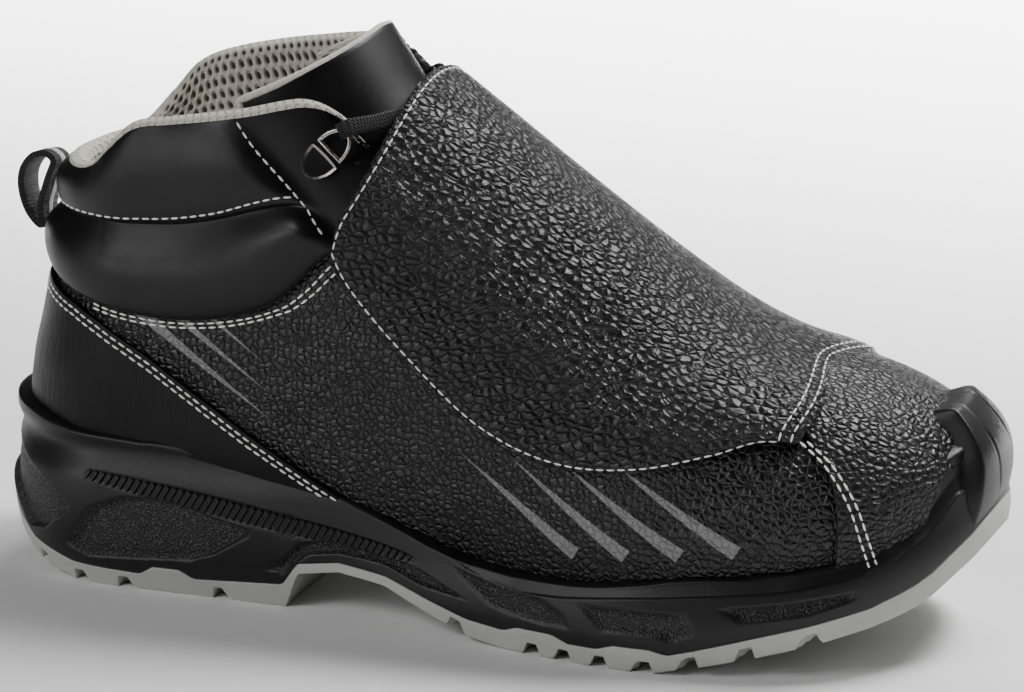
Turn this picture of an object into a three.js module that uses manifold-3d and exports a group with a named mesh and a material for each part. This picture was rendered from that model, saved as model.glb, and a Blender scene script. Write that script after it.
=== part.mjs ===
// A metatarsal guard boot for the right foot: a laced ankle boot in black leather
// with a broad leather flap over the instep, on a two-colour moulded sole.
// Millimetres. While it is modelled, X runs from the heel to the toe, Y to the inner
// side of the foot and Z up from the floor; the group is centred over the floor last.
import * as THREE from "three";
import { mergeVertices } from "three/addons/utils/BufferGeometryUtils.js";
import Module from "manifold-3d";

const wasm = await Module();
wasm.setup();
const { lerp, clamp, smoothstep } = THREE.MathUtils;

// Driving dimensions
const soleLength = 300;
const soleWidth = 110; // across the ball of the foot
const collarHeight = 152; // floor to the front of the collar
const rimHeight = 52; // floor to the top of the sole's cup, at the back
const wall = 2.4; // upper leather with its lining
const overlay = 1.4; // toe cap and heel counter leather
const guardWall = 4.2; // flap leather over its foam
const padding = 6.2; // the collar's thickest roll
const tongueWall = 4.5;
const insoleWall = 4;
const instepLean = 4; // the ridge of the instep, towards the inner side
const clearance = 0.3; // between pieces that meet
const cupWall = 2.6; // midsole round the upper where the outsole climbs
const heelSpur = 4.3; // sole behind the last's own heel
const bumperWall = 4.6;
const windowDepth = 2; // recesses in the sole's side
const treadDepth = 3.6; // grooves between lugs
const grooveWidth = 4.5;
const laceWidth = 4.8;
const laceThickness = 2;
const loopWidth = 20; // heel pull loop webbing
const loopThickness = 1.8;
const ringWire = 1.6;
const ringWidth = 10;
const ringLength = 8;

const halfWidth = soleWidth / 2;

// The foot's bend: the middle line's place across, as shares of soleLength and soleWidth
const bendRows = [
  { at: 0, y: 0 },
  { at: 0.15, y: -0.005 },
  { at: 0.3, y: -0.02 },
  { at: 0.45, y: -0.036 },
  { at: 0.6, y: -0.03 },
  { at: 0.72, y: -0.01 },
  { at: 0.86, y: 0.03 },
  { at: 1, y: 0.075 },
];

// The last, as rings from the feather line (at 0) to over the collar (at 1).
// backX and frontX are shares of soleLength, backZ and frontZ of collarHeight, and sag
// says how far a ring follows the foot bed down.
const lastRings = [
  { at: 0.0, backX: 0.02, backZ: 0.197, frontX: 0.965, frontZ: 0.19, sag: 1.0 },
  { at: 0.1, backX: 0.012, backZ: 0.309, frontX: 0.978, frontZ: 0.3, sag: 0.8 },
  { at: 0.2, backX: 0.017, backZ: 0.414, frontX: 0.967, frontZ: 0.388, sag: 0.35 },
  { at: 0.3, backX: 0.027, backZ: 0.5, frontX: 0.925, frontZ: 0.463, sag: 0.1 },
  { at: 0.4, backX: 0.035, backZ: 0.572, frontX: 0.85, frontZ: 0.513, sag: 0 },
  { at: 0.5, backX: 0.043, backZ: 0.638, frontX: 0.76, frontZ: 0.54, sag: 0 },
  { at: 0.6, backX: 0.052, backZ: 0.697, frontX: 0.67, frontZ: 0.635, sag: 0 },
  { at: 0.7, backX: 0.057, backZ: 0.757, frontX: 0.58, frontZ: 0.75, sag: 0 },
  { at: 0.8, backX: 0.062, backZ: 0.81, frontX: 0.503, frontZ: 0.855, sag: 0 },
  { at: 0.9, backX: 0.067, backZ: 0.875, frontX: 0.443, frontZ: 0.96, sag: 0 },
  { at: 1.0, backX: 0.073, backZ: 0.987, frontX: 0.379, frontZ: 1.13, sag: 0 },
];
// The same rings' half widths from heel to toe, as shares of halfWidth, and the reach of
// their round ends, as shares of soleLength
const lastWidths = [
  { at: 0.0, heel: 0.57, seat: 0.57, waist: 0.62, joint: 0.82, toe: 0.74, backArc: 0.113, frontArc: 0.147 },
  { at: 0.1, heel: 0.635, seat: 0.645, waist: 0.68, joint: 0.9, toe: 0.82, backArc: 0.12, frontArc: 0.153 },
  { at: 0.2, heel: 0.645, seat: 0.645, waist: 0.69, joint: 0.87, toe: 0.765, backArc: 0.12, frontArc: 0.153 },
  { at: 0.3, heel: 0.63, seat: 0.635, waist: 0.685, joint: 0.79, toe: 0.65, backArc: 0.12, frontArc: 0.173 },
  { at: 0.4, heel: 0.6, seat: 0.62, waist: 0.68, joint: 0.73, toe: 0.52, backArc: 0.113, frontArc: 0.2 },
  { at: 0.5, heel: 0.565, seat: 0.61, waist: 0.67, joint: 0.695, toe: 0.545, backArc: 0.107, frontArc: 0.207 },
  { at: 0.6, heel: 0.535, seat: 0.6, waist: 0.66, joint: 0.665, toe: 0.51, backArc: 0.1, frontArc: 0.193 },
  { at: 0.7, heel: 0.52, seat: 0.59, waist: 0.65, joint: 0.64, toe: 0.475, backArc: 0.097, frontArc: 0.173 },
  { at: 0.8, heel: 0.51, seat: 0.59, waist: 0.645, joint: 0.62, toe: 0.455, backArc: 0.093, frontArc: 0.147 },
  { at: 0.9, heel: 0.51, seat: 0.59, waist: 0.635, joint: 0.61, toe: 0.455, backArc: 0.093, frontArc: 0.127 },
  { at: 1.0, heel: 0.51, seat: 0.58, waist: 0.627, joint: 0.6, toe: 0.455, backArc: 0.093, frontArc: 0.12 },
];
const ringStations = { heel: 0.12, seat: 0.3, waist: 0.5, joint: 0.7, toe: 0.88 };

// The foot bed, on which the insole lies: z as a share of rimHeight
const bedRows = [
  { at: 0, z: 0.56 },
  { at: 0.25, z: 0.53 },
  { at: 0.4, z: 0.44 },
  { at: 0.55, z: 0.34 },
  { at: 0.72, z: 0.31 },
  { at: 0.84, z: 0.39 },
  { at: 0.92, z: 0.52 },
  { at: 1, z: 0.74 },
];

// The sole's plan: half widths as shares of halfWidth, with its round ends apart
const solePlan = [
  { at: 0, half: 0.745 },
  { at: 0.13, half: 0.745 },
  { at: 0.3, half: 0.71 },
  { at: 0.42, half: 0.705 },
  { at: 0.52, half: 0.79 },
  { at: 0.62, half: 0.92 },
  { at: 0.7, half: 0.99 },
  { at: 0.78, half: 0.98 },
  { at: 0.88, half: 0.9 },
  { at: 1, half: 0.84 },
];
const heelRound = 0.137;
const toeRound = 0.165;

// The sole's wall: millimetres in from the plan at the heel and forefoot, at heights over
// the toe's lift line as shares of rimHeight
const soleWall = [
  { height: -0.1, heel: 7, fore: 3.5 },
  { height: 0.06, heel: 4.2, fore: 1.2 },
  { height: 0.22, heel: 1.6, fore: 0 },
  { height: 0.46, heel: 0, fore: 2 },
  { height: 0.66, heel: 0.4, fore: 3.2 },
  { height: 0.82, heel: 3.2, fore: 3.8 },
  { height: 0.93, heel: 1.8, fore: 4.2 },
  { height: 1.3, heel: 3.2, fore: 5.4 },
];

// The sole seen from the side, from heel to toe: x as a share of soleLength, and z of the
// tread, of the seam between outsole and midsole and of the cup's rim, as shares of rimHeight
const soleSide = [
  { at: -0.02, tread: 0.4, seam: 0.55, rim: 1.0 },
  { at: 0.0, tread: 0.22, seam: 0.38, rim: 0.995 },
  { at: 0.04, tread: 0.065, seam: 0.2, rim: 0.98 },
  { at: 0.09, tread: 0, seam: 0.125, rim: 0.93 },
  { at: 0.165, tread: 0, seam: 0.105, rim: 0.9 },
  { at: 0.18, tread: 0, seam: 0.16, rim: 0.905 },
  { at: 0.208, tread: 0, seam: 0.16, rim: 0.89 },
  { at: 0.223, tread: 0, seam: 0.11, rim: 0.875 },
  { at: 0.318, tread: 0, seam: 0.15, rim: 0.785 },
  { at: 0.336, tread: 0.23, seam: 0.295, rim: 0.77 },
  { at: 0.38, tread: 0.275, seam: 0.335, rim: 0.705 },
  { at: 0.43, tread: 0.24, seam: 0.3, rim: 0.61 },
  { at: 0.475, tread: 0.13, seam: 0.215, rim: 0.52 },
  { at: 0.52, tread: 0.03, seam: 0.14, rim: 0.455 },
  { at: 0.56, tread: 0, seam: 0.12, rim: 0.432 },
  { at: 0.575, tread: 0, seam: 0.155, rim: 0.432 },
  { at: 0.613, tread: 0, seam: 0.155, rim: 0.438 },
  { at: 0.63, tread: 0, seam: 0.115, rim: 0.442 },
  { at: 0.66, tread: 0, seam: 0.115, rim: 0.46 },
  { at: 0.677, tread: 0, seam: 0.15, rim: 0.475 },
  { at: 0.712, tread: 0, seam: 0.15, rim: 0.505 },
  { at: 0.73, tread: 0.025, seam: 0.125, rim: 0.525 },
  { at: 0.76, tread: 0.06, seam: 0.17, rim: 0.545 },
  { at: 0.81, tread: 0.125, seam: 0.25, rim: 0.565 },
  { at: 0.86, tread: 0.2, seam: 0.325, rim: 0.61 },
  { at: 0.91, tread: 0.285, seam: 0.41, rim: 0.67 },
  { at: 0.932, tread: 0.335, seam: 0.47, rim: 0.74 },
  { at: 0.945, tread: 0.37, seam: 0.51, rim: 0.88 },
  { at: 0.957, tread: 0.42, seam: 0.56, rim: 1.1 },
  { at: 0.985, tread: 0.58, seam: 0.73, rim: 1.22 },
  { at: 1.01, tread: 0.76, seam: 0.93, rim: 1.28 },
];
const liftRows = [
  { at: 0, z: 0 },
  { at: 0.72, z: 0 },
  { at: 0.81, z: 0.11 },
  { at: 0.9, z: 0.27 },
  { at: 1, z: 0.55 },
];

// Places along soleLength where a groove crosses the tread; heel and forefoot keep a flat spot
const grooves = [0.075, 0.125, 0.175, 0.275, 0.54, 0.625, 0.66, 0.7, 0.745, 0.79, 0.84, 0.895];
const grooveSkew = 0.22; // radians from straight across, opposite on the two sides

// Recesses in the sole's side, as x shares of soleLength and z shares of rimHeight
const sideWindows = [
  [
    [-0.02, 0.84], [0.04, 0.66], [0.088, 0.53], [0.092, 0.47], [0.06, 0.3], [0.035, 0.26],
    [0.01, 0.42], [-0.02, 0.55],
  ],
  [
    [0.085, 0.24], [0.118, 0.49], [0.15, 0.57], [0.195, 0.59], [0.285, 0.46], [0.283, 0.42],
    [0.245, 0.28], [0.22, 0.23], [0.16, 0.2], [0.11, 0.18],
  ],
  [
    [0.3, 0.22], [0.34, 0.42], [0.37, 0.46], [0.46, 0.385], [0.52, 0.25], [0.47, 0.28],
    [0.43, 0.36], [0.38, 0.385], [0.345, 0.35], [0.325, 0.24],
  ],
  [
    [0.505, 0.42], [0.515, 0.36], [0.55, 0.235], [0.6, 0.195], [0.632, 0.2], [0.625, 0.29],
    [0.6, 0.35],
  ],
  [
    [0.64, 0.36], [0.655, 0.27], [0.668, 0.215], [0.72, 0.215], [0.735, 0.19], [0.76, 0.24],
    [0.745, 0.37],
  ],
  [
    [0.775, 0.41], [0.8, 0.33], [0.86, 0.38], [0.9, 0.46], [0.9, 0.52], [0.84, 0.46],
  ],
];

// The ribbed band on the sole's side
const ribBand = { from: 0.115, to: 0.455, fromZ: 0.68, toZ: 0.42, height: 0.105, count: 15, lean: 0.35 };
const ribDepth = 0.7;

// Lines on the upper's side: x shares of soleLength, z shares of collarHeight
const collarRim = [
  { at: 0.0, outer: 0.81, inner: 0.81 },
  { at: 0.085, outer: 0.815, inner: 0.82 },
  { at: 0.115, outer: 0.835, inner: 0.885 },
  { at: 0.135, outer: 0.875, inner: 0.935 },
  { at: 0.16, outer: 0.92, inner: 0.965 },
  { at: 0.2, outer: 0.938, inner: 0.988 },
  { at: 0.28, outer: 0.965, inner: 1.015 },
  { at: 0.33, outer: 0.992, inner: 1.03 },
  { at: 0.37, outer: 0.995, inner: 1.03 },
  { at: 0.42, outer: 0.95, inner: 0.985 },
];
const cuffFoot = [
  { at: 0.0, z: 0.625 },
  { at: 0.055, z: 0.6 },
  { at: 0.1, z: 0.575 },
  { at: 0.155, z: 0.555 },
  { at: 0.21, z: 0.552 },
  { at: 0.273, z: 0.572 },
  { at: 0.317, z: 0.607 },
  { at: 0.344, z: 0.653 },
  { at: 0.366, z: 0.703 },
  { at: 0.44, z: 0.83 },
];
const cuffSeam = [
  { at: 0.0, z: 0.745 },
  { at: 0.06, z: 0.742 },
  { at: 0.13, z: 0.745 },
  { at: 0.165, z: 0.749 },
  { at: 0.21, z: 0.758 },
  { at: 0.255, z: 0.779 },
  { at: 0.3, z: 0.806 },
  { at: 0.335, z: 0.817 },
  { at: 0.375, z: 0.805 },
  { at: 0.44, z: 0.85 },
];

// The flap over the instep, from its top edge to the toe cap: its crown on the middle line
// and its side edge, as shares of soleLength, collarHeight and halfWidth
const guardRows = [
  { at: 0, crownX: 0.432, crownZ: 1.035, edgeX: 0.372, edgeZ: 0.753, half: 0.805 },
  { at: 0.14, crownX: 0.487, crownZ: 0.96, edgeX: 0.396, edgeZ: 0.665, half: 0.835 },
  { at: 0.32, crownX: 0.553, crownZ: 0.868, edgeX: 0.457, edgeZ: 0.543, half: 0.87 },
  { at: 0.5, crownX: 0.62, crownZ: 0.775, edgeX: 0.533, edgeZ: 0.426, half: 0.915 },
  { at: 0.66, crownX: 0.682, crownZ: 0.688, edgeX: 0.613, edgeZ: 0.376, half: 0.965 },
  { at: 0.8, crownX: 0.735, crownZ: 0.618, edgeX: 0.693, edgeZ: 0.382, half: 0.96 },
  { at: 0.91, crownX: 0.779, crownZ: 0.57, edgeX: 0.767, edgeZ: 0.42, half: 0.89 },
  { at: 1, crownX: 0.82, crownZ: 0.541, edgeX: 0.826, edgeZ: 0.452, half: 0.76 },
];

// Seams that bound the toe cap and the heel counter, seen from the side
const capSeam = [
  [0.829, 0.6], [0.829, 0.465], [0.836, 0.439], [0.858, 0.396], [0.881, 0.334], [0.892, 0.27],
  [0.898, 0.2],
];
const counterSeam = [
  [-0.04, 0.61], [0.02, 0.598], [0.055, 0.575], [0.094, 0.555], [0.121, 0.533], [0.178, 0.474],
  [0.231, 0.409], [0.285, 0.345], [0.338, 0.288], [0.38, 0.245],
];

// The throat seen from above: x share of soleLength, half width share of halfWidth
const throat = [
  { at: 0.34, half: 0.52 },
  { at: 0.4, half: 0.5 },
  { at: 0.5, half: 0.38 },
  { at: 0.66, half: 0.28 },
  { at: 0.71, half: 0.16 },
];

// Where the lace's rings sit on the facing: their turn and height share on the last
const ringPlace = { turn: 0.329, share: 0.862 };

// Half of the lace's bar from a ring to the middle: x, y and z as shares of soleLength,
// halfWidth and collarHeight, the other half being its mirror
const laceRoute = [
  { x: 0.39, y: 0.68, z: 0.966 },
  { x: 0.408, y: 0.53, z: 0.966 },
  { x: 0.4215, y: 0.335, z: 0.968 },
  { x: 0.433, y: 0.04, z: 0.976 },
];

// The pull loop's middle line from the side, its first two points along the collar
const loopSide = [
  { x: 0.023, z: 0.648 },
  { x: 0.0222, z: 0.69 },
  { x: 0.03, z: 0.74 },
  { x: 0.0375, z: 0.785 },
  { x: 0.025, z: 0.808 },
  { x: 0.006, z: 0.8 },
  { x: -0.008, z: 0.765 },
  { x: -0.0105, z: 0.72 },
  { x: -0.003, z: 0.672 },
  { x: 0.012, z: 0.64 },
];

// The collar's padding fades at a seam that leans forward down the side
const paddingEnd = { topX: 0.28, topZ: 0.958, lowX: 0.37, lowZ: 0.78 };
const cuffFront = [
  [-0.1, 0.3], [0.385, 0.3], [0.385, 0.7], [0.405, 0.8], [0.42, 1.2], [-0.1, 1.2],
];

// Facets shared by pieces that lie on one another: turns round the last, and rows up it
const turns = 44;
const lowRows = [0, 0.05, 0.11, 0.19, 0.28, 0.38, 0.5];
const topRows = 4;

// A smooth curve through one column of a table whose rows stand at their `at`
function along(rows, key, at) {
  const last = rows.length - 1;
  if (at <= rows[0].at) return rows[0][key];
  if (at >= rows[last].at) return rows[last][key];
  let i = 0;
  while (rows[i + 1].at < at) i += 1;
  const slope = (k) => {
    const a = rows[Math.max(k - 1, 0)];
    const b = rows[Math.min(k + 1, last)];
    return (b[key] - a[key]) / (b.at - a.at);
  };
  const span = rows[i + 1].at - rows[i].at;
  const t = (at - rows[i].at) / span;
  const t2 = t * t;
  const t3 = t2 * t;
  return (
    rows[i][key] * (2 * t3 - 3 * t2 + 1) +
    rows[i + 1][key] * (3 * t2 - 2 * t3) +
    span * (slope(i) * (t3 - 2 * t2 + t) + slope(i + 1) * (t3 - t2))
  );
}

const bend = (x) => along(bendRows, "y", x / soleLength) * soleWidth;
const bed = (x) => along(bedRows, "z", x / soleLength) * rimHeight;
const lift = (x) => along(liftRows, "z", x / soleLength) * rimHeight;

// 0 at the very end of an outline and 1 past `reach`, round as a circle
function endRound(distance, reach) {
  if (distance >= reach) return 1;
  return Math.sqrt(Math.max(0, 1 - (1 - distance / reach) ** 2));
}

// Half width of the last on ring h, at share p of the ring's length
function lastHalf(h, p) {
  const length = (along(lastRings, "frontX", h) - along(lastRings, "backX", h)) * soleLength;
  const back = along(lastWidths, "backArc", h) * soleLength;
  const front = along(lastWidths, "frontArc", h) * soleLength;
  const round = (q) => endRound(q * length, back) * endRound((1 - q) * length, front);
  const rows = Object.entries(ringStations).map(([key, at]) => ({
    at,
    full: (along(lastWidths, key, h) * halfWidth) / round(at),
  }));
  return along(rows, "full", p) * round(p);
}

// A point of the last: u runs round a ring from the heel, outer side first, and h up
function lastBase(u, h) {
  const p = (1 - Math.cos(2 * Math.PI * u)) / 2;
  const side = u <= 0.5 ? -1 : 1;
  const x = lerp(along(lastRings, "backX", h), along(lastRings, "frontX", h), p) * soleLength;
  const straight = lerp(along(lastRings, "backZ", h), along(lastRings, "frontZ", h), p);
  const z = straight * collarHeight;
  const low = lerp(lastRings[0].backZ, lastRings[0].frontZ, p) * collarHeight;
  const fade = 1 - smoothstep(h, 0.25, 0.75) * (1 - p * p);
  const ridge = instepLean * smoothstep(h, 0.3, 0.7) * p * p;
  const y = bend(x) * fade + ridge + side * lastHalf(h, p);
  return new THREE.Vector3(x, y, z + along(lastRings, "sag", h) * (bed(x) - low));
}

// The same point, moved out from the last by `off` along the surface's normal
function lastPoint(u, h, off = 0) {
  const base = lastBase(u, h);
  if (off === 0) return base;
  const du = 0.004;
  const dh = 0.01;
  const h0 = Math.max(0, h - dh);
  const h1 = Math.min(1, h + dh);
  const round = lastBase((u + du) % 1, h).sub(lastBase((u - du + 1) % 1, h));
  const up = lastBase(u, h1).sub(lastBase(u, h0));
  return base.addScaledVector(round.cross(up).normalize(), off);
}

// The height share at which the meridian u meets a line drawn on the side of the boot
function shareAt(u, line) {
  let low = 0;
  let high = 1;
  for (let i = 0; i < 22; i += 1) {
    const h = (low + high) / 2;
    const p = lastBase(u, h);
    if (p.z < line(p.x / soleLength) * collarHeight) low = h;
    else high = h;
  }
  return (low + high) / 2;
}
const rimShare = (u) => shareAt(u, (at) => along(collarRim, u <= 0.5 ? "outer" : "inner", at));
const cuffFootShare = (u) => shareAt(u, (at) => along(cuffFoot, "z", at));
const cuffSeamShare = (u) => shareAt(u, (at) => along(cuffSeam, "z", at));

// A closed mesh as a solid: equal corners merged, flat triangles dropped, faces outwards
function solid(geometry) {
  const bare = new THREE.BufferGeometry();
  bare.setAttribute("position", geometry.getAttribute("position"));
  bare.setIndex(geometry.index);
  const merged = mergeVertices(bare, 1e-3);
  const corners = merged.index.array;
  const kept = [];
  for (let i = 0; i < corners.length; i += 3) {
    const [a, b, c] = [corners[i], corners[i + 1], corners[i + 2]];
    if (a !== b && b !== c && c !== a) kept.push(a, b, c);
  }
  const build = (list) =>
    new wasm.Manifold(
      new wasm.Mesh({
        numProp: 3,
        vertProperties: new Float32Array(merged.attributes.position.array),
        triVerts: new Uint32Array(list),
      }),
    );
  const made = build(kept);
  if (made.volume() >= 0) return made;
  for (let i = 0; i < kept.length; i += 3) [kept[i], kept[i + 1]] = [kept[i + 1], kept[i]];
  return build(kept);
}

// A box of nu by nv by nw cells whose corners are moved to place(u, v, w), all 0 to 1
function moulded(nu, nv, nw, place) {
  const box = new THREE.BoxGeometry(1, 1, 1, nu, nv, nw);
  const at = box.getAttribute("position");
  for (let i = 0; i < at.count; i += 1) {
    const p = place(at.getX(i) + 0.5, at.getY(i) + 0.5, at.getZ(i) + 0.5);
    at.setXYZ(i, p.x, p.y, p.z);
  }
  return solid(box);
}

// A ring-shaped body: place(u, j) with u round the ring and j counting round its section
function hoop(around, section, place) {
  const torus = new THREE.TorusGeometry(2, 1, section, around);
  const uv = torus.getAttribute("uv");
  const at = torus.getAttribute("position");
  for (let i = 0; i < at.count; i += 1) {
    const p = place(uv.getX(i) % 1, Math.round(uv.getY(i) * section) % section);
    at.setXYZ(i, p.x, p.y, p.z);
  }
  return solid(torus);
}

// A side outline of [x, z] points pushed through the boot from side to side
function sidePrism(points, from = -soleWidth, to = soleWidth) {
  const shape = new THREE.Shape(points.map(([x, z]) => new THREE.Vector2(x, z)));
  const body = new THREE.ExtrudeGeometry(shape, { depth: to - from, bevelEnabled: false });
  body.rotateX(Math.PI / 2).translate(0, to, 0);
  return solid(body);
}

// Side points given in shares of soleLength and of a height
const scaled = (points, height) => points.map(([x, z]) => [x * soleLength, z * height]);

// A filled form of the last, `off` outside it, from the feather line up `rows` of lowRows
function lastForm(off, rows) {
  return moulded(turns / 2, 1, rows, (u, v, w) => {
    const turn = v < 0.5 ? u / 2 : (1 - u / 2) % 1;
    const p = lastPoint(turn, lowRows[Math.round(w * rows)], off);
    if (w === 0) p.z -= off;
    return p;
  });
}

// The sole's plan as a filled form, its wall following soleWall, drawn in by `drawn`
function soleForm(drawn) {
  const rows = soleWall.length - 1;
  const length = soleLength + heelSpur;
  return moulded(24, 1, rows, (u, v, w) => {
    const row = soleWall[Math.round(w * rows)];
    const share = (1 - Math.cos(Math.PI * u)) / 2;
    const inset = lerp(row.heel, row.fore, smoothstep(share, 0.3, 0.52)) + drawn;
    const x = lerp(inset - heelSpur, soleLength - inset, share);
    const heel = endRound(share * length, heelRound * soleLength);
    const toe = endRound((1 - share) * length, toeRound * soleLength);
    const half = (along(solePlan, "half", share) * halfWidth - inset) * heel * toe;
    const y = bend(x) + (v < 0.5 ? -half : half);
    return new THREE.Vector3(x, y, row.height * rimHeight + lift(x));
  });
}

// The band of the sole's side between two columns of its table
function soleBand(low, high, drop) {
  const bottom = soleSide.map((row) => [row.at, row[low]]);
  const top = soleSide.map((row) => [row.at, row[high] - drop / rimHeight]).reverse();
  return sidePrism(scaled([...bottom, ...top], rimHeight));
}

function makeOutsole(form) {
  const cup = lastForm(cupWall + 2 * clearance, 5);
  let body = form.intersect(soleBand("tread", "seam", clearance)).subtract(cup);
  grooves.forEach((at) => {
    const depth = treadDepth + Math.max(0, along(soleSide, "tread", at)) * rimHeight;
    [-1, 1].forEach((side) => {
      const slot = new THREE.BoxGeometry(grooveWidth, halfWidth, 2 * depth);
      slot.translate(0, side * halfWidth * 0.6, 0).rotateZ(side * grooveSkew);
      slot.translate(at * soleLength, bend(at * soleLength), 0);
      body = body.subtract(solid(slot));
    });
  });
  return body;
}

// The ribbed band's gaps, as slanted outlines in shares of soleLength and rimHeight
function ribGaps() {
  const pitch = (ribBand.to - ribBand.from) / ribBand.count;
  return Array.from({ length: ribBand.count }, (_, i) => {
    const share = i / (ribBand.count - 1);
    const left = ribBand.from + i * pitch;
    const right = left + pitch * 0.6;
    const middle = lerp(ribBand.fromZ, ribBand.toZ, share ** 1.25);
    const tall = ribBand.height * Math.sin(Math.PI * lerp(0.12, 0.93, share)) ** 0.5;
    const [low, high] = [middle - tall / 2, middle + tall / 2];
    const lean = tall * ribBand.lean;
    return [[left, low], [right, low], [right + lean, high], [left + lean, high]];
  });
}

// The raised guard that the sole's cup carries at the tip of the toe
function toeBumper() {
  const reach = 0.042;
  const inner = overlay + 2 * clearance + 0.1;
  return moulded(8, 1, 6, (u, v, w) => {
    const across = (u - 0.5) * 2;
    const h = lerp(0.15, 0.288, w);
    const ends = 0.5 + 0.5 * Math.sqrt(1 - Math.abs(across) ** 6);
    const top = 1 - 0.4 * smoothstep(w, 0.8, 1);
    const turn = 0.506 + across * reach * (1 - 0.45 * w);
    return lastPoint(turn, h, v < 0.5 ? inner : inner + bumperWall * ends * top);
  });
}

function makeMidsole(form) {
  const cup = lastForm(cupWall + clearance, 5).intersect(form);
  let body = form.intersect(soleBand("seam", "rim", 0));
  body = body.add(cup.intersect(soleBand("tread", "rim", 0)));
  const windows = sideWindows.map((w) => sidePrism(scaled(w, rimHeight)));
  const recess = windows.reduce((all, w) => all.add(w)).subtract(soleForm(windowDepth));
  const gaps = ribGaps().map((g) => sidePrism(scaled(g, rimHeight)));
  const comb = gaps.reduce((all, g) => all.add(g)).subtract(soleForm(ribDepth));
  return body.subtract(recess).subtract(comb).add(toeBumper()).subtract(lastForm(clearance, 5));
}

// The throat, cut straight down through the upper
function throatPrism(spare) {
  const edge = (side) =>
    throat.map((row) => {
      return new THREE.Vector2(row.at * soleLength, side * (row.half * halfWidth + spare));
    });
  const shape = new THREE.Shape([...edge(-1), ...edge(1).reverse()]);
  const body = new THREE.ExtrudeGeometry(shape, { depth: collarHeight, bevelEnabled: false });
  body.translate(0, 0, collarHeight * 0.4);
  return solid(body);
}

// The upper's whole shell: one wall all round, its outside `off` from the last
function upperShell(off) {
  const rows = lowRows.length - 1 + topRows;
  return hoop(turns, 2 * rows + 2, (u, j) => {
    const outside = j <= rows;
    const row = outside ? j : 2 * rows + 1 - j;
    const top = Math.max(0, row - lowRows.length + 1) / topRows;
    const h = lowRows[Math.min(row, lowRows.length - 1)];
    return lastPoint(u, lerp(h, rimShare(u), top), outside ? off : -wall);
  });
}

// How far the collar's padding stands out: two rolls with a sewn groove between
function swell(u, h, foot, seam, rim) {
  const p = lastBase(u, h);
  const down = (paddingEnd.topZ - p.z / collarHeight) / (paddingEnd.topZ - paddingEnd.lowZ);
  const ahead = p.x / soleLength - lerp(paddingEnd.topX, paddingEnd.lowX, down);
  const share = h < seam ? (h - foot) / (seam - foot) : (h - seam) / (rim - seam);
  const roll = Math.sin(Math.PI * clamp(share, 0, 1)) ** 0.75 * (h < seam ? 1 : 0.8);
  return overlay + (padding - overlay) * roll * (1 - smoothstep(ahead, -0.05, 0.01));
}

function makeCuff() {
  const rows = 6;
  const ring = hoop(turns, rows + 4, (u, j) => {
    const foot = cuffFootShare(u);
    const rim = rimShare(u) - 0.004;
    if (j > rows) return lastPoint(u, lerp(foot, rim, (rows + 3 - j) / 2), -wall / 3);
    const h = lerp(foot, rim, j / rows);
    return lastPoint(u, h, clearance + swell(u, h, foot, cuffSeamShare(u), rim));
  });
  const front = sidePrism(scaled(cuffFront, collarHeight));
  return ring.subtract(upperShell(clearance)).subtract(throatPrism(0.5)).intersect(front);
}

// A skin over the last, `overlay` thick, between the feather line and the cuff
function overlaySkin() {
  const rows = lowRows.slice(1);
  return hoop(turns, 2 * rows.length, (u, j) => {
    const outside = j < rows.length;
    const h = rows[outside ? j : 2 * rows.length - 1 - j];
    return lastPoint(u, h, 1.6 * clearance + (outside ? overlay : 0));
  });
}

// Everything over the sole's rim, so that an overlay stops above it
function overRim() {
  const edge = soleSide.map((row) => [row.at, row.rim + (2 * clearance) / rimHeight]);
  const top = [[1.05, 2], [-0.05, 2]];
  return sidePrism(scaled([[-0.05, edge[0][1]], ...edge, [1.05, 1.1], ...top], rimHeight));
}

function makeToeCap() {
  const seam = scaled(capSeam, collarHeight);
  const front = [[soleLength * 1.1, 0], [soleLength * 1.1, collarHeight * 0.6]];
  return overlaySkin().intersect(sidePrism([...seam, ...front])).intersect(overRim());
}

function makeCounter() {
  const seam = scaled(counterSeam, collarHeight);
  const foot = [[seam[seam.length - 1][0], 0], [-15, 0]];
  return overlaySkin().intersect(sidePrism([...seam, ...foot])).intersect(overRim());
}

// The flap: arches from its crown down to each side edge, thinned towards its border
function makeGuard() {
  return moulded(12, 1, 12, (u, v, w) => {
    const value = (key) => along(guardRows, key, w);
    const across = (u - 0.5) * 2;
    const side = Math.sign(across);
    const angle = (Math.abs(across) * Math.PI) / 2;
    const drop = 1 - Math.cos(angle);
    const x = lerp(value("crownX"), value("edgeX"), drop ** lerp(1.6, 1, w)) * soleLength;
    const z = lerp(value("crownZ"), value("edgeZ"), drop) * collarHeight;
    const y = side * Math.sin(angle) ** 0.94 * value("half") * halfWidth;
    const lean = bend(value("crownX") * soleLength) * 0.6 + 1.2;
    const point = new THREE.Vector3(x, y + lean, z);
    if (v > 0.5) return point;
    const thin = (1 - 0.5 * Math.abs(across) ** 4) * (1 - 0.45 * smoothstep(w, 0.8, 1));
    const steep = Math.cos(angle);
    const inwards = new THREE.Vector3(-0.45 * steep, -side * Math.sin(angle), -0.85 * steep);
    return point.addScaledVector(inwards.normalize(), guardWall * thin);
  });
}

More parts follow.
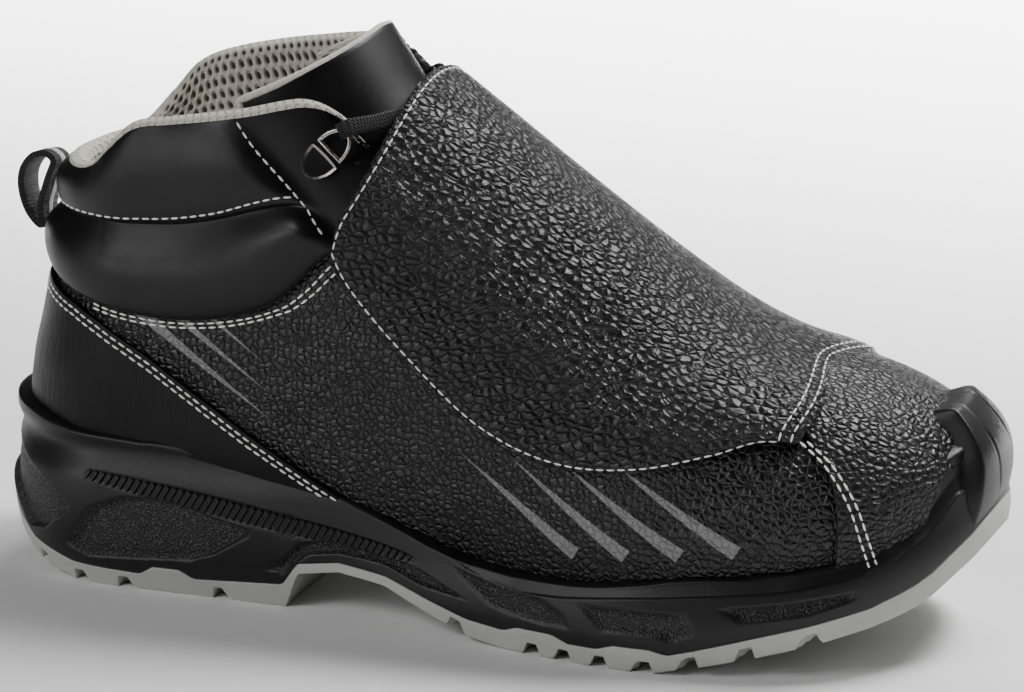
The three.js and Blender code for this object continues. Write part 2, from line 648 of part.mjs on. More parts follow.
// The tongue: a padded half tube inside the collar, running down under the flap
function makeTongue() {
  return moulded(10, 1, 9, (u, v, w) => {
    const spread = lerp(0.075, 0.225, smoothstep(w, 0.1, 0.85));
    const turn = 0.5 + (u - 0.5) * 2 * spread;
    const crown = clamp(1 - Math.abs(u - 0.5) ** 1.6 * 3, 0, 1);
    const h = lerp(0.56, lerp(0.945, 0.992, crown), w);
    const soft = 1 - 0.5 * Math.abs(2 * u - 1) ** 4 - 0.3 * smoothstep(w, 0.9, 1);
    const out = -(wall + 2 * clearance);
    return lastPoint(turn, h, v < 0.5 ? out : out - tongueWall * soft);
  });
}

function makeInsole() {
  return moulded(turns / 2, 1, 1, (u, v, w) => {
    const turn = v < 0.5 ? u / 2 : (1 - u / 2) % 1;
    const p = lastPoint(turn, 0, -(wall + 2 * clearance));
    p.z = bed(p.x) + w * insoleWall;
    return p;
  });
}

// The heel's pull loop: webbing that bows out from the collar's back and lies along it
function makePullLoop() {
  const course = new THREE.CatmullRomCurve3(
    loopSide.map((row) => new THREE.Vector3(row.x * soleLength, 0, row.z * collarHeight)),
    true,
  );
  return hoop(18, 4, (u, j) => {
    const p = course.getPoint(u);
    const tangent = course.getTangent(u);
    const thick = new THREE.Vector3(-tangent.z, 0, tangent.x);
    const far = j === 0 || j === 3;
    p.addScaledVector(thick, (j < 2 ? 0.5 : -0.5) * loopThickness);
    return p.add(new THREE.Vector3(0, (far ? 0.5 : -0.5) * loopWidth, 0));
  });
}

// A frame on the facing: x along a ring's pull, z out of the leather
function facing(side) {
  const turn = side < 0 ? ringPlace.turn : 1 - ringPlace.turn;
  const at = lastPoint(turn, ringPlace.share, 0);
  const out = lastPoint(turn, ringPlace.share, 1).sub(at);
  const low = lastBase(turn, ringPlace.share - 0.02);
  const up = lastBase(turn, ringPlace.share + 0.02).sub(low).normalize();
  const ahead = new THREE.Vector3().crossVectors(up, out).multiplyScalar(side);
  if (ahead.x < 0) ahead.negate();
  const pull = ahead.multiplyScalar(0.95).addScaledVector(up, 0.25).projectOnPlane(out).normalize();
  const cross = new THREE.Vector3().crossVectors(out, pull);
  at.addScaledVector(out, clearance + overlay + 0.5);
  return new THREE.Matrix4().makeBasis(pull, cross, out).setPosition(at);
}

// A D-shaped outline: a bow of the given length on a straight bar of the given width
function bowShape(length, width, side) {
  const arc = new THREE.EllipseCurve(0, 0, length, width / 2, -Math.PI / 2, Math.PI / 2);
  return arc.getPoints(5).map((p) => new THREE.Vector2(side * p.x, side * p.y));
}

// A lace ring: a button sewn to the facing with a wire bow standing on its bar
function makeLaceRing(side) {
  const frame = facing(side);
  const button = new THREE.Shape(bowShape(ringLength, ringWidth, -1));
  const plate = new THREE.ExtrudeGeometry(button, { depth: 1.4, bevelEnabled: false });
  const hole = bowShape(ringLength - ringWire, ringWidth - 2 * ringWire, 1).reverse();
  const bow = new THREE.Shape([...bowShape(ringLength, ringWidth, 1), ...hole]);
  const wire = new THREE.ExtrudeGeometry(bow, { depth: ringWire, bevelEnabled: false });
  const bar = new THREE.BoxGeometry(2 * ringWire, ringWidth, ringWire).translate(0, 0, ringWire);
  wire.translate(ringWire * 0.5, 0, 0.4);
  const whole = [plate, wire, bar].map((g) => solid(g.applyMatrix4(frame)));
  return whole.reduce((all, m) => all.add(m));
}

// The lace's bar across the tongue, a flat braid from ring to ring
function makeLaceBar() {
  const half = (side) =>
    laceRoute.map((row) => {
      const y = side * row.y * halfWidth;
      return new THREE.Vector3(row.x * soleLength, y, row.z * collarHeight);
    });
  const [outer, inner] = [half(-1), half(1).reverse()];
  const course = new THREE.CatmullRomCurve3([...outer, ...inner]);
  return moulded(12, 1, 1, (u, v, w) => {
    const at = course.getPointAt(u);
    const tangent = course.getTangentAt(u);
    const wide = new THREE.Vector3(-0.35, 0, 1).projectOnPlane(tangent).normalize();
    const thin = new THREE.Vector3().crossVectors(tangent, wide).normalize();
    at.addScaledVector(wide, (w - 0.5) * laceWidth);
    return at.addScaledVector(thin, (v - 0.5) * laceThickness);
  });
}

// Colours and gloss
const grained = { color: 0x17181a, roughness: 0.45 };
const smooth = { color: 0x1b1c1f, roughness: 0.5 };
const rubber = { color: 0x8f8f8c, roughness: 0.75 };
const foamed = { color: 0x1d1e20, roughness: 0.7 };
const metal = { color: 0x3a3634, roughness: 0.3, metalness: 0.9 };
const webbing = { color: 0x121214, roughness: 0.85 };
const lining = { color: 0x4a4a4a, roughness: 0.95 };

const group = new THREE.Group();
function add(name, body, finish) {
  const { numProp, vertProperties, triVerts } = body.getMesh();
  const geometry = new THREE.BufferGeometry();
  const kept = new Float32Array((vertProperties.length / numProp) * 3);
  for (let i = 0; i < kept.length / 3; i += 1) {
    kept.set(vertProperties.subarray(i * numProp, i * numProp + 3), i * 3);
  }
  geometry.setAttribute("position", new THREE.BufferAttribute(kept, 3));
  geometry.setIndex(new THREE.BufferAttribute(triVerts, 1));
  geometry.computeVertexNormals();
  const mesh = new THREE.Mesh(geometry, new THREE.MeshStandardMaterial(finish));
  mesh.name = name;
  group.add(mesh);
}

const sole = soleForm(0);
add("outsole", makeOutsole(sole), rubber);
add("midsole", makeMidsole(sole), foamed);
add("insole", makeInsole(), lining);
add("upper", upperShell(0).subtract(throatPrism(0)), grained);
add("toe_cap", makeToeCap(), grained);
add("heel_counter", makeCounter(), smooth);
add("collar_cuff", makeCuff(), smooth);
add("tongue", makeTongue(), smooth);
add("metatarsal_guard", makeGuard(), grained);
add("pull_loop", makePullLoop(), webbing);
add("lace_ring_outer", makeLaceRing(-1), metal);
add("lace_ring_inner", makeLaceRing(1), metal);
add("lace_bar", makeLaceBar(), webbing);

const floorBox = new THREE.Box3().setFromObject(group);
const middle = floorBox.getCenter(new THREE.Vector3());
group.position.set(-middle.x, -middle.y, -floorBox.min.z);

export default group;
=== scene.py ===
"""A metatarsal guard boot for the right foot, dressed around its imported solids.

Metres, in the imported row's frame: X from the heel to the toe, Y to the inner side, Z up.
"""
import math

import bmesh
import bpy
import numpy as np
from mathutils import Matrix, Vector


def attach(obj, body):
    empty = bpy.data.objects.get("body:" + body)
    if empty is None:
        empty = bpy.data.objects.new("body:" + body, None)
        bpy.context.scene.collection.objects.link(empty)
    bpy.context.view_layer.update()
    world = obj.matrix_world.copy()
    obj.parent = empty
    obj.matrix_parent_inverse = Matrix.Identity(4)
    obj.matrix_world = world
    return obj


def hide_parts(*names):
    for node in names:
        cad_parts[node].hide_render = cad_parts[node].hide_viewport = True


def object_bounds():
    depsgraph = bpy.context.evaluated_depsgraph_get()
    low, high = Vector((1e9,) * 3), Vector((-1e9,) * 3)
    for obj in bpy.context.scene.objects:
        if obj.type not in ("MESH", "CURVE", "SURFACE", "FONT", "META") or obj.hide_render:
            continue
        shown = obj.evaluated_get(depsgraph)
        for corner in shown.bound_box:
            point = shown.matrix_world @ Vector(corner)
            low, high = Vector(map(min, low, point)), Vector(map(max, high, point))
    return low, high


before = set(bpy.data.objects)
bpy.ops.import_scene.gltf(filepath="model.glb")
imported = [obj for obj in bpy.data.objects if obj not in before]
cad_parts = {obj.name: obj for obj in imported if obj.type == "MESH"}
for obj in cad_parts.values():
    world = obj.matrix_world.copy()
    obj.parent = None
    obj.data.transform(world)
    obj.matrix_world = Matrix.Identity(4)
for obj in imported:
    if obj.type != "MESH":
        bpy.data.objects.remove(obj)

CAD_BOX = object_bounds()
MM = 0.001

# The boot's own sizes
SOLE_LENGTH = 300 * MM
HALF_WIDTH = 55 * MM
COLLAR_HEIGHT = 152 * MM
RIM_HEIGHT = 52 * MM
WALL = 2.4 * MM
OVERLAY = 1.4 * MM
CLEARANCE = 0.3 * MM
# How far off the last an overlay's outer face and the shell's inner face lie
OVERLAY_FACE = 1.6 * CLEARANCE + OVERLAY
INNER_FACE = -(WALL + 2 * CLEARANCE)
LINING_FACE = -WALL - 1.4 * MM
LINING_WALL = 0.8 * MM
PADDING = 6.2 * MM
GUARD_GIRTH = 190 * MM
GUARD_LENGTH = 142 * MM
GUARD_WALL = 2.2 * MM
TONGUE_WALL = 4.5 * MM
INSOLE_WALL = 4 * MM
INSTEP_LEAN = 4 * MM
HEEL_SPUR = 4.3 * MM
BUMPER_WALL = 4.6 * MM
WINDOW_DEPTH = 2.0 * MM
TREAD_DEPTH = 3.6 * MM
TREAD_WALL = 1.5 * MM
GROOVE_WIDTH = 4.5 * MM
GROOVE_SKEW = 0.22
LACE_WIDTH = 4.8 * MM
LACE_THICKNESS = 1.7 * MM
LOOP_WIDTH = 20 * MM
LOOP_THICKNESS = 1.8 * MM
# How far the loop leans back and down for each step to the inner side
LOOP_TWIST = (0.2, 0.2)
RING_WIRE = 0.8 * MM
RING_WIDTH = 10 * MM
RING_LENGTH = 8 * MM
RING_PLATE = 1.2 * MM
# How far the cut edges of thick and of thin leather are eased
CUT_EASE = 0.4 * MM
THIN_EASE = 0.3 * MM
STITCH = {"pitch": 3.1 * MM, "length": 2.5 * MM, "width": 0.68 * MM, "height": 0.42 * MM}
SIDES = (("outer", 1), ("inner", -1))
# How far inside its edge each row of stitches runs
ROWS = {
    "cap": (1.3 * MM, 3.1 * MM), "counter": (1.5 * MM, 3.4 * MM), "quarter": (1.6 * MM, 3.5 * MM),
    "guard": 2.2 * MM, "guard_front": (1.6 * MM, 3.4 * MM),
}

# The heel of the last and the middle of the foot, in the row's frame
ORIGIN = np.array([CAD_BOX[0].x + HEEL_SPUR, 0.876 * MM, 0.0])


def rows_of(names, *rows):
    """A table with one named column each."""
    return {n: np.array(column, float) for n, column in zip(names.split(), zip(*rows))}


# The same shares of the boot's sizes as its solids have
BEND = rows_of(
    "at y",
    (0, 0), (0.15, -0.005), (0.3, -0.02), (0.45, -0.036),
    (0.6, -0.03), (0.72, -0.01), (0.86, 0.03), (1, 0.075),
)
LAST = rows_of(
    "at back_x back_z front_x front_z sag",
    (0.0, 0.02, 0.197, 0.965, 0.19, 1.0),
    (0.1, 0.012, 0.309, 0.978, 0.3, 0.8),
    (0.2, 0.017, 0.414, 0.967, 0.388, 0.35),
    (0.3, 0.027, 0.5, 0.925, 0.463, 0.1),
    (0.4, 0.035, 0.572, 0.85, 0.513, 0),
    (0.5, 0.043, 0.638, 0.76, 0.54, 0),
    (0.6, 0.052, 0.697, 0.67, 0.635, 0),
    (0.7, 0.057, 0.757, 0.58, 0.75, 0),
    (0.8, 0.062, 0.81, 0.503, 0.855, 0),
    (0.9, 0.067, 0.875, 0.443, 0.96, 0),
    (1.0, 0.073, 0.987, 0.379, 1.13, 0),
)
WIDTHS = rows_of(
    "at heel seat waist joint toe back_arc front_arc",
    (0.0, 0.57, 0.57, 0.62, 0.82, 0.74, 0.113, 0.147),
    (0.1, 0.635, 0.645, 0.68, 0.9, 0.82, 0.12, 0.153),
    (0.2, 0.645, 0.645, 0.69, 0.87, 0.765, 0.12, 0.153),
    (0.3, 0.63, 0.635, 0.685, 0.79, 0.65, 0.12, 0.173),
    (0.4, 0.6, 0.62, 0.68, 0.73, 0.52, 0.113, 0.2),
    (0.5, 0.565, 0.61, 0.67, 0.695, 0.545, 0.107, 0.207),
    (0.6, 0.535, 0.6, 0.66, 0.665, 0.51, 0.1, 0.193),
    (0.7, 0.52, 0.59, 0.65, 0.64, 0.475, 0.097, 0.173),
    (0.8, 0.51, 0.59, 0.645, 0.62, 0.455, 0.093, 0.147),
    (0.9, 0.51, 0.59, 0.635, 0.61, 0.455, 0.093, 0.127),
    (1.0, 0.51, 0.58, 0.627, 0.6, 0.455, 0.093, 0.12),
)
STATIONS = {"heel": 0.12, "seat": 0.3, "waist": 0.5, "joint": 0.7, "toe": 0.88}
BED = rows_of(
    "at z",
    (0, 0.56), (0.25, 0.53), (0.4, 0.44), (0.55, 0.34),
    (0.72, 0.31), (0.84, 0.39), (0.92, 0.52), (1, 0.74),
)
PLAN = rows_of(
    "at half",
    (0, 0.745), (0.13, 0.745), (0.3, 0.71), (0.42, 0.705), (0.52, 0.79),
    (0.62, 0.92), (0.7, 0.99), (0.78, 0.98), (0.88, 0.9), (1, 0.84),
)
HEEL_ROUND = 0.137 * SOLE_LENGTH
TOE_ROUND = 0.165 * SOLE_LENGTH
SOLE_WALL = rows_of(
    "at heel fore",
    (-0.1, 7, 3.5), (0.06, 4.2, 1.2), (0.22, 1.6, 0), (0.46, 0, 2),
    (0.66, 0.4, 3.2), (0.82, 3.2, 3.8), (0.93, 1.8, 4.2), (1.3, 3.2, 5.4),
)
SIDE = rows_of(
    "at tread seam rim",
    (-0.02, 0.4, 0.55, 1.0), (0.0, 0.22, 0.38, 0.995), (0.04, 0.065, 0.2, 0.98),
    (0.09, 0, 0.125, 0.93), (0.165, 0, 0.105, 0.9), (0.18, 0, 0.16, 0.905),
    (0.208, 0, 0.16, 0.89), (0.223, 0, 0.11, 0.875), (0.318, 0, 0.15, 0.785),
    (0.336, 0.23, 0.295, 0.77), (0.38, 0.275, 0.335, 0.705), (0.43, 0.24, 0.3, 0.61),
    (0.475, 0.13, 0.215, 0.52), (0.52, 0.03, 0.14, 0.455), (0.56, 0, 0.12, 0.432),
    (0.575, 0, 0.155, 0.432), (0.613, 0, 0.155, 0.438), (0.63, 0, 0.115, 0.442),
    (0.66, 0, 0.115, 0.46), (0.677, 0, 0.15, 0.475), (0.712, 0, 0.15, 0.505),
    (0.73, 0.025, 0.125, 0.525), (0.76, 0.06, 0.17, 0.545), (0.81, 0.125, 0.25, 0.565),
    (0.86, 0.2, 0.325, 0.61), (0.91, 0.285, 0.41, 0.67), (0.932, 0.335, 0.47, 0.74),
    (0.945, 0.37, 0.51, 0.88), (0.957, 0.42, 0.56, 1.1), (0.985, 0.58, 0.73, 1.22),
    (1.01, 0.76, 0.93, 1.28),
)
LIFT = rows_of("at z", (0, 0), (0.72, 0), (0.81, 0.11), (0.9, 0.27), (1, 0.55))
GROOVES = (0.075, 0.125, 0.175, 0.275, 0.54, 0.625, 0.66, 0.7, 0.745, 0.79, 0.84, 0.895)

# Recesses in the sole's side, as x shares of SOLE_LENGTH and z shares of RIM_HEIGHT
WINDOWS = (
    ((-0.02, 0.84), (0.04, 0.66), (0.088, 0.53), (0.092, 0.47), (0.06, 0.3),
     (0.035, 0.26), (0.01, 0.42), (-0.02, 0.55)),
    ((0.085, 0.24), (0.118, 0.49), (0.15, 0.57), (0.195, 0.59), (0.285, 0.46),
     (0.283, 0.42), (0.245, 0.28), (0.22, 0.23), (0.16, 0.2), (0.11, 0.18)),
    ((0.3, 0.22), (0.34, 0.42), (0.37, 0.46), (0.46, 0.385), (0.52, 0.25),
     (0.47, 0.28), (0.43, 0.36), (0.38, 0.385), (0.345, 0.35), (0.325, 0.24)),
    ((0.505, 0.42), (0.515, 0.36), (0.55, 0.235), (0.6, 0.195), (0.632, 0.2),
     (0.625, 0.29), (0.6, 0.35)),
    ((0.64, 0.36), (0.655, 0.27), (0.668, 0.215), (0.72, 0.215), (0.735, 0.19),
     (0.76, 0.24), (0.745, 0.37)),
    ((0.775, 0.41), (0.8, 0.33), (0.86, 0.38), (0.9, 0.46), (0.9, 0.52), (0.84, 0.46)),
)
LEDGE = rows_of(
    "at z",
    (0.4, 0.56), (0.478, 0.52), (0.523, 0.405), (0.564, 0.345), (0.622, 0.362), (0.683, 0.41),
    (0.76, 0.455), (0.83, 0.496), (0.876, 0.552), (0.912, 0.605), (0.937, 0.69), (0.955, 0.79),
    (0.973, 0.96),
)
LEDGE_LEAN = 2.1 * MM
RIB_BAND = {"start": 0.115, "end": 0.455, "start_z": 0.68, "end_z": 0.42, "height": 0.105}
RIB = {"count": 46, "width": 0.85 * MM, "depth": 1.1 * MM, "sunk": 0.25 * MM, "lean": 32.0, "ease": 0.2 * MM}
BUMPER = {"turn": 0.505, "half_turn": 0.047, "taper": 0.38, "low": 0.03, "high": 0.292}

STRIPE_SLOPE = -33.0

# Lines on the upper's side: x shares of SOLE_LENGTH, z shares of COLLAR_HEIGHT
COLLAR_RIM = rows_of(
    "at outer inner",
    (0.0, 0.81, 0.81), (0.085, 0.815, 0.82), (0.115, 0.835, 0.885), (0.135, 0.875, 0.935),
    (0.16, 0.92, 0.965), (0.2, 0.938, 0.988), (0.28, 0.968, 1.015), (0.33, 0.99, 1.03),
    (0.35, 0.987, 1.03), (0.37, 0.968, 1.03), (0.39, 0.938, 1.015), (0.42, 0.89, 0.985),
)
CUFF_FOOT = rows_of(
    "at z",
    (0.0, 0.625), (0.055, 0.6), (0.1, 0.575), (0.155, 0.555), (0.21, 0.552),
    (0.273, 0.572), (0.317, 0.607), (0.344, 0.653), (0.366, 0.703), (0.44, 0.83),
)
CUFF_SEAM = rows_of(
    "at z",
    (0.0, 0.73), (0.06, 0.726), (0.13, 0.728), (0.165, 0.731), (0.21, 0.74),
    (0.255, 0.761), (0.3, 0.79), (0.335, 0.803), (0.375, 0.795), (0.44, 0.85),
)
GUARD = rows_of(
    "at crown_x crown_z edge_x edge_z half",
    (0, 0.432, 1.035, 0.372, 0.753, 0.805),
    (0.14, 0.487, 0.96, 0.396, 0.665, 0.835),
    (0.32, 0.553, 0.868, 0.457, 0.543, 0.87),
    (0.5, 0.62, 0.775, 0.533, 0.426, 0.915),
    (0.66, 0.682, 0.688, 0.613, 0.376, 0.965),
    (0.8, 0.735, 0.618, 0.693, 0.382, 0.96),
    (0.91, 0.779, 0.57, 0.767, 0.42, 0.885),
    (0.957, 0.808, 0.549, 0.806, 0.446, 0.815),
    (1, 0.835, 0.533, 0.842, 0.438, 0.73),
)
# How far the guard's front edge bows ahead at its shoulders
GUARD_BOW = 4 * MM
# How far the guard's rear corners are rounded, as shares of its width and length
GUARD_CORNER = (0.075, 0.075)
CAP_SEAM = rows_of(
    "at x",
    (0.2, 0.898), (0.27, 0.892), (0.334, 0.881), (0.396, 0.858), (0.439, 0.829),
    (0.465, 0.81), (0.6, 0.808),
)
COUNTER_SEAM = rows_of(
    "at z",
    (-0.04, 0.61), (0.02, 0.598), (0.055, 0.575), (0.094, 0.555), (0.121, 0.533),
    (0.178, 0.474), (0.231, 0.409), (0.285, 0.345), (0.338, 0.288), (0.38, 0.245),
)
THROAT = rows_of("at half", (0.34, 0.52), (0.4, 0.5), (0.5, 0.38), (0.66, 0.28), (0.71, 0.16))
# Where the padding runs out in front
PADDING_END = {"top_x": 0.28, "top_z": 0.958, "low_x": 0.37, "low_z": 0.78}
# The lining: its half turn, where its fold ends and how far under the rim that is
FOLD = {"turn": 0.372, "end": 0.22, "drop": 0.008}
RING_PLACE = {"turn": 0.329, "share": 0.862}
FACING_SEAM = rows_of("at turn", (0, 0.272), (0.33, 0.28), (0.66, 0.283), (1.0, 0.279))
# The ring of the last up to which the cap's seam is open to view
CAP_KINK = 0.268
LACE_ROUTE = (
    (0.381, 0.695, 0.955), (0.392, 0.66, 0.966), (0.408, 0.53, 0.966), (0.4215, 0.335, 0.968),
    (0.433, 0.04, 0.976),
)
LOOP_SIDE = (
    (0.023, 0.648), (0.0222, 0.69), (0.03, 0.74), (0.0375, 0.785), (0.025, 0.808),
    (0.006, 0.8), (-0.008, 0.765), (-0.0105, 0.72), (-0.003, 0.672), (0.012, 0.64),
)

# The camera: the photograph's angle on the boot, through a long lens
CAMERA = {
    "turn": 20.0, "rise": 16.5, "distance": 1.5, "lens": 180.9,
    "target": (5.05 * MM, 0.53 * MM, 75.5 * MM),
}


def lerp(a, b, t):
    return a + (b - a) * t


def share_of(x, low, high):
    return np.clip((x - low) / (high - low), 0, 1)


def smoothstep(x, low, high):
    t = share_of(x, low, high)
    return t * t * (3 - 2 * t)


def curve(at, xs, ys):
    """A smooth curve through the rows (xs, ys); ys may hold a row of values for each point."""
    ys = np.asarray(ys)
    at = np.clip(at, xs[0], xs[-1])
    i = np.clip(np.searchsorted(xs, at, side="right") - 1, 0, len(xs) - 2)
    before = np.maximum(np.arange(len(xs)) - 1, 0)
    after = np.minimum(np.arange(len(xs)) + 1, len(xs) - 1)
    slope = (ys[..., after] - ys[..., before]) / (xs[after] - xs[before])

    def pick(rows, k):
        return rows[k] if ys.ndim == 1 else np.take_along_axis(rows, k[..., None], -1)[..., 0]

    span = xs[i + 1] - xs[i]
    t = (at - xs[i]) / span
    return (
        pick(ys, i) * (2 * t**3 - 3 * t**2 + 1)
        + pick(ys, i + 1) * (3 * t**2 - 2 * t**3)
        + span * (pick(slope, i) * (t**3 - 2 * t**2 + t) + pick(slope, i + 1) * (t**3 - t**2))
    )


def along(table, column, at):
    return curve(np.asarray(at, float), table["at"], table[column])


def bend(x):
    return along(BEND, "y", x / SOLE_LENGTH) * 2 * HALF_WIDTH


def bed(x):
    return along(BED, "z", x / SOLE_LENGTH) * RIM_HEIGHT


def lift(x):
    return along(LIFT, "z", x / SOLE_LENGTH) * RIM_HEIGHT


def side_line(column, drop=0.0):
    """One of the lines round the sole's side, as a height for each x."""
    return lambda x: np.interp(x / SOLE_LENGTH, SIDE["at"], SIDE[column]) * RIM_HEIGHT + drop


def end_round(distance, reach):
    """0 at the very end of an outline and 1 past reach, round as a circle."""
    return np.sqrt(np.clip(1 - (1 - np.clip(distance / reach, 0, 1)) ** 2, 0, 1))


def last_half(h, p):
    """Half width of the last on ring h, at share p of the ring's length."""
    length = (along(LAST, "front_x", h) - along(LAST, "back_x", h)) * SOLE_LENGTH
    back = along(WIDTHS, "back_arc", h) * SOLE_LENGTH
    front = along(WIDTHS, "front_arc", h) * SOLE_LENGTH

    def rounded(q):
        return end_round(q * length, back) * end_round((1 - q) * length, front)

    full = [along(WIDTHS, key, h) * HALF_WIDTH / rounded(at) for key, at in STATIONS.items()]
    return curve(p, np.array(list(STATIONS.values())), np.stack(full, -1)) * rounded(p)


def last_base(u, h):
    """Points of the last: u runs round a ring from the heel, outer side first, and h up."""
    u, h = np.broadcast_arrays(np.asarray(u, float) % 1.0, np.asarray(h, float))
    p = (1 - np.cos(2 * np.pi * u)) / 2
    side = np.where(u <= 0.5, -1.0, 1.0)
    x = lerp(along(LAST, "back_x", h), along(LAST, "front_x", h), p) * SOLE_LENGTH
    z = lerp(along(LAST, "back_z", h), along(LAST, "front_z", h), p) * COLLAR_HEIGHT
    low = lerp(LAST["back_z"][0], LAST["front_z"][0], p) * COLLAR_HEIGHT
    fade = 1 - smoothstep(h, 0.25, 0.75) * (1 - p * p)
    ridge = INSTEP_LEAN * smoothstep(h, 0.3, 0.7) * p * p
    y = bend(x) * fade + ridge + side * last_half(h, p)
    return np.stack([x, y, z + along(LAST, "sag", h) * (bed(x) - low)], -1)


def unit(v):
    return v / np.maximum(np.linalg.norm(v, axis=-1, keepdims=True), 1e-12)


def last_normal(u, h):
    u, h = np.broadcast_arrays(np.asarray(u, float), np.asarray(h, float))
    around = last_base(u + 0.004, h) - last_base(u - 0.004, h)
    up = last_base(u, np.clip(h + 0.01, 0, 1)) - last_base(u, np.clip(h - 0.01, 0, 1))
    return unit(np.cross(around, up))


def last_point(u, h, off=0.0):
    off = np.asarray(off, float)
    return last_base(u, h) + last_normal(u, h) * off[..., None]


def bisect(shape, low, high, past, rounds=20):
    """Where past(value) turns true between low and high."""
    low, high = np.full(shape, low), np.full(shape, high)
    for _ in range(rounds):
        middle = (low + high) / 2
        over = past(middle)
        low, high = np.where(over, low, middle), np.where(over, middle, high)
    return (low + high) / 2


def solve_share(u, above, high=1.0):
    """The height share on meridian u at which above(point) turns true."""
    u = np.asarray(u, float)
    return bisect(u.shape, 0.0, high, lambda h: above(last_base(u, h)))


def share_at(u, line):
    """Where meridian u meets a line that gives z shares for x shares."""
    return solve_share(u, lambda p: p[..., 2] >= line(p[..., 0] / SOLE_LENGTH) * COLLAR_HEIGHT)


def rim_share(u):
    outer = np.asarray(u, float) % 1 <= 0.5
    return share_at(u, lambda at: np.where(
        outer, along(COLLAR_RIM, "outer", at), along(COLLAR_RIM, "inner", at)))


def counter_share(u):
    return share_at(u, lambda at: np.interp(at, COUNTER_SEAM["at"], COUNTER_SEAM["z"]))


def sole_rim_share(u, spare=0.0):
    """Where the sole's rim crosses meridian u."""
    return solve_share(u, lambda p: p[..., 2] >= side_line("rim", spare)(p[..., 0]), 0.6)


def cap_line(p):
    """The x of the toe cap's rear seam at the height of p."""
    return along(CAP_SEAM, "x", p[..., 2] / COLLAR_HEIGHT) * SOLE_LENGTH


def cap_share(u):
    """Where the toe cap's rear seam crosses meridian u, going up from the sole."""
    return solve_share(u, lambda p: p[..., 0] <= cap_line(p), 0.75)


def tabled(function, count=2880):
    """The same function of the turn, looked up in a table round the whole boot."""
    turns = np.arange(count + 1) / count
    values = function(turns)
    return lambda u: np.interp(np.asarray(u, float) % 1.0, turns, values)


RIM_AT = tabled(rim_share)
FOOT_AT = tabled(lambda u: share_at(u, lambda at: along(CUFF_FOOT, "z", at)))
SEAM_AT = tabled(lambda u: share_at(u, lambda at: along(CUFF_SEAM, "z", at)))
COUNTER_AT = tabled(counter_share)
CAP_AT = tabled(cap_share)
SOLE_AT = tabled(lambda u: sole_rim_share(u, -2 * MM))


def turn_at(x, h):
    """The outer side's turn at which ring h reaches x."""
    back, front = along(LAST, "back_x", h), along(LAST, "front_x", h)
    p = np.clip((x / SOLE_LENGTH - back) / (front - back), 0, 1)
    return np.arccos(1 - 2 * p) / (2 * np.pi)


# Sheets of mesh

class Sheet:
    """A surface over s and t from 0 to 1, raised from its base by a relief along its normal."""

    def __init__(self, place, relief=None, around=False, flip=False):
        self.place, self.relief, self.around, self.flip = place, relief, around, flip

    def normals(self, s, t, step=0.002):
        def inside(v):
            return v if self.around else np.clip(v, 0, 1)
        across = self.place(inside(s + step), t) - self.place(inside(s - step), t)
        up = self.place(s, np.clip(t + step, 0, 1)) - self.place(s, np.clip(t - step, 0, 1))
        return unit(np.cross(across, up)) * (-1 if self.flip else 1)

    def at(self, s, t, out=0.0):
        """Points of the raised surface, out over it, and the base's normals."""
        s, t = np.broadcast_arrays(np.asarray(s, float), np.asarray(t, float))
        base, normals = self.place(s, t), self.normals(s, t)
        height = out + (self.relief(s, t) if self.relief else 0.0)
        return base + normals * np.broadcast_to(height, s.shape)[..., None], normals


def path_lengths(points):
    """How far along a line of points each one lies."""
    return np.concatenate([[0], np.cumsum(np.linalg.norm(np.diff(points, axis=0), axis=1))])


def sheet_mesh(sheet, columns, rows, closed=False):
    """The sheet as a bmesh grid of columns by rows cells, with lengths in metres as its UVs."""
    bm = bmesh.new()
    bmesh.ops.create_grid(bm, x_segments=columns, y_segments=rows, size=0.5)
    verts = list(bm.verts)
    flat = np.array([v.co for v in verts]) + 0.5
    across = np.rint(flat[:, 0] * columns).astype(int)
    up = np.rint(flat[:, 1] * rows).astype(int)
    s_grid, t_grid = np.meshgrid(np.arange(columns + 1) / columns, np.arange(rows + 1) / rows)
    points, _ = sheet.at(s_grid, t_grid)
    points = points + ORIGIN
    for vert, i, j in zip(verts, across, up):
        vert.co = points[j, i]
    run, rise = path_lengths(points[rows // 2]), path_lengths(points[:, columns // 3])
    layer = bm.loops.layers.uv.new("UVMap")
    index = {v: (run[i], rise[j]) for v, i, j in zip(verts, across, up)}
    for face in bm.faces:
        for loop in face.loops:
            loop[layer].uv = index[loop.vert]
    if sheet.flip:
        bmesh.ops.reverse_faces(bm, faces=bm.faces[:])
    if sheet.around or closed:
        bmesh.ops.remove_doubles(bm, verts=bm.verts[:], dist=0.02 * MM)
    return bm


def new_object(name, data):
    made = bpy.data.objects.new(name, data)
    bpy.context.scene.collection.objects.link(made)
    return made


def piece(name, bm, surface, slot, *stands_for, smooth=True):
    """A finished object of the boot from a bmesh."""
    mesh = bpy.data.meshes.new(name)
    for face in bm.faces:
        face.smooth = smooth
    bm.to_mesh(mesh)
    bm.free()
    thing = new_object(name, mesh)
    mesh.materials.append(surface)
    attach(thing, "root")
    if stands_for:
        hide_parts(*stands_for)
    return thing


def spots(thing):
    """A piece's vertices, measured from the heel of the last."""
    return np.array([v.co for v in thing.data.vertices]) - ORIGIN


def mark(thing, name, values):
    """Stores a value for each vertex, for the material to read."""
    layer = thing.data.attributes.new(name, "FLOAT", "POINT")
    layer.data.foreach_set("value", np.asarray(values, np.float32))


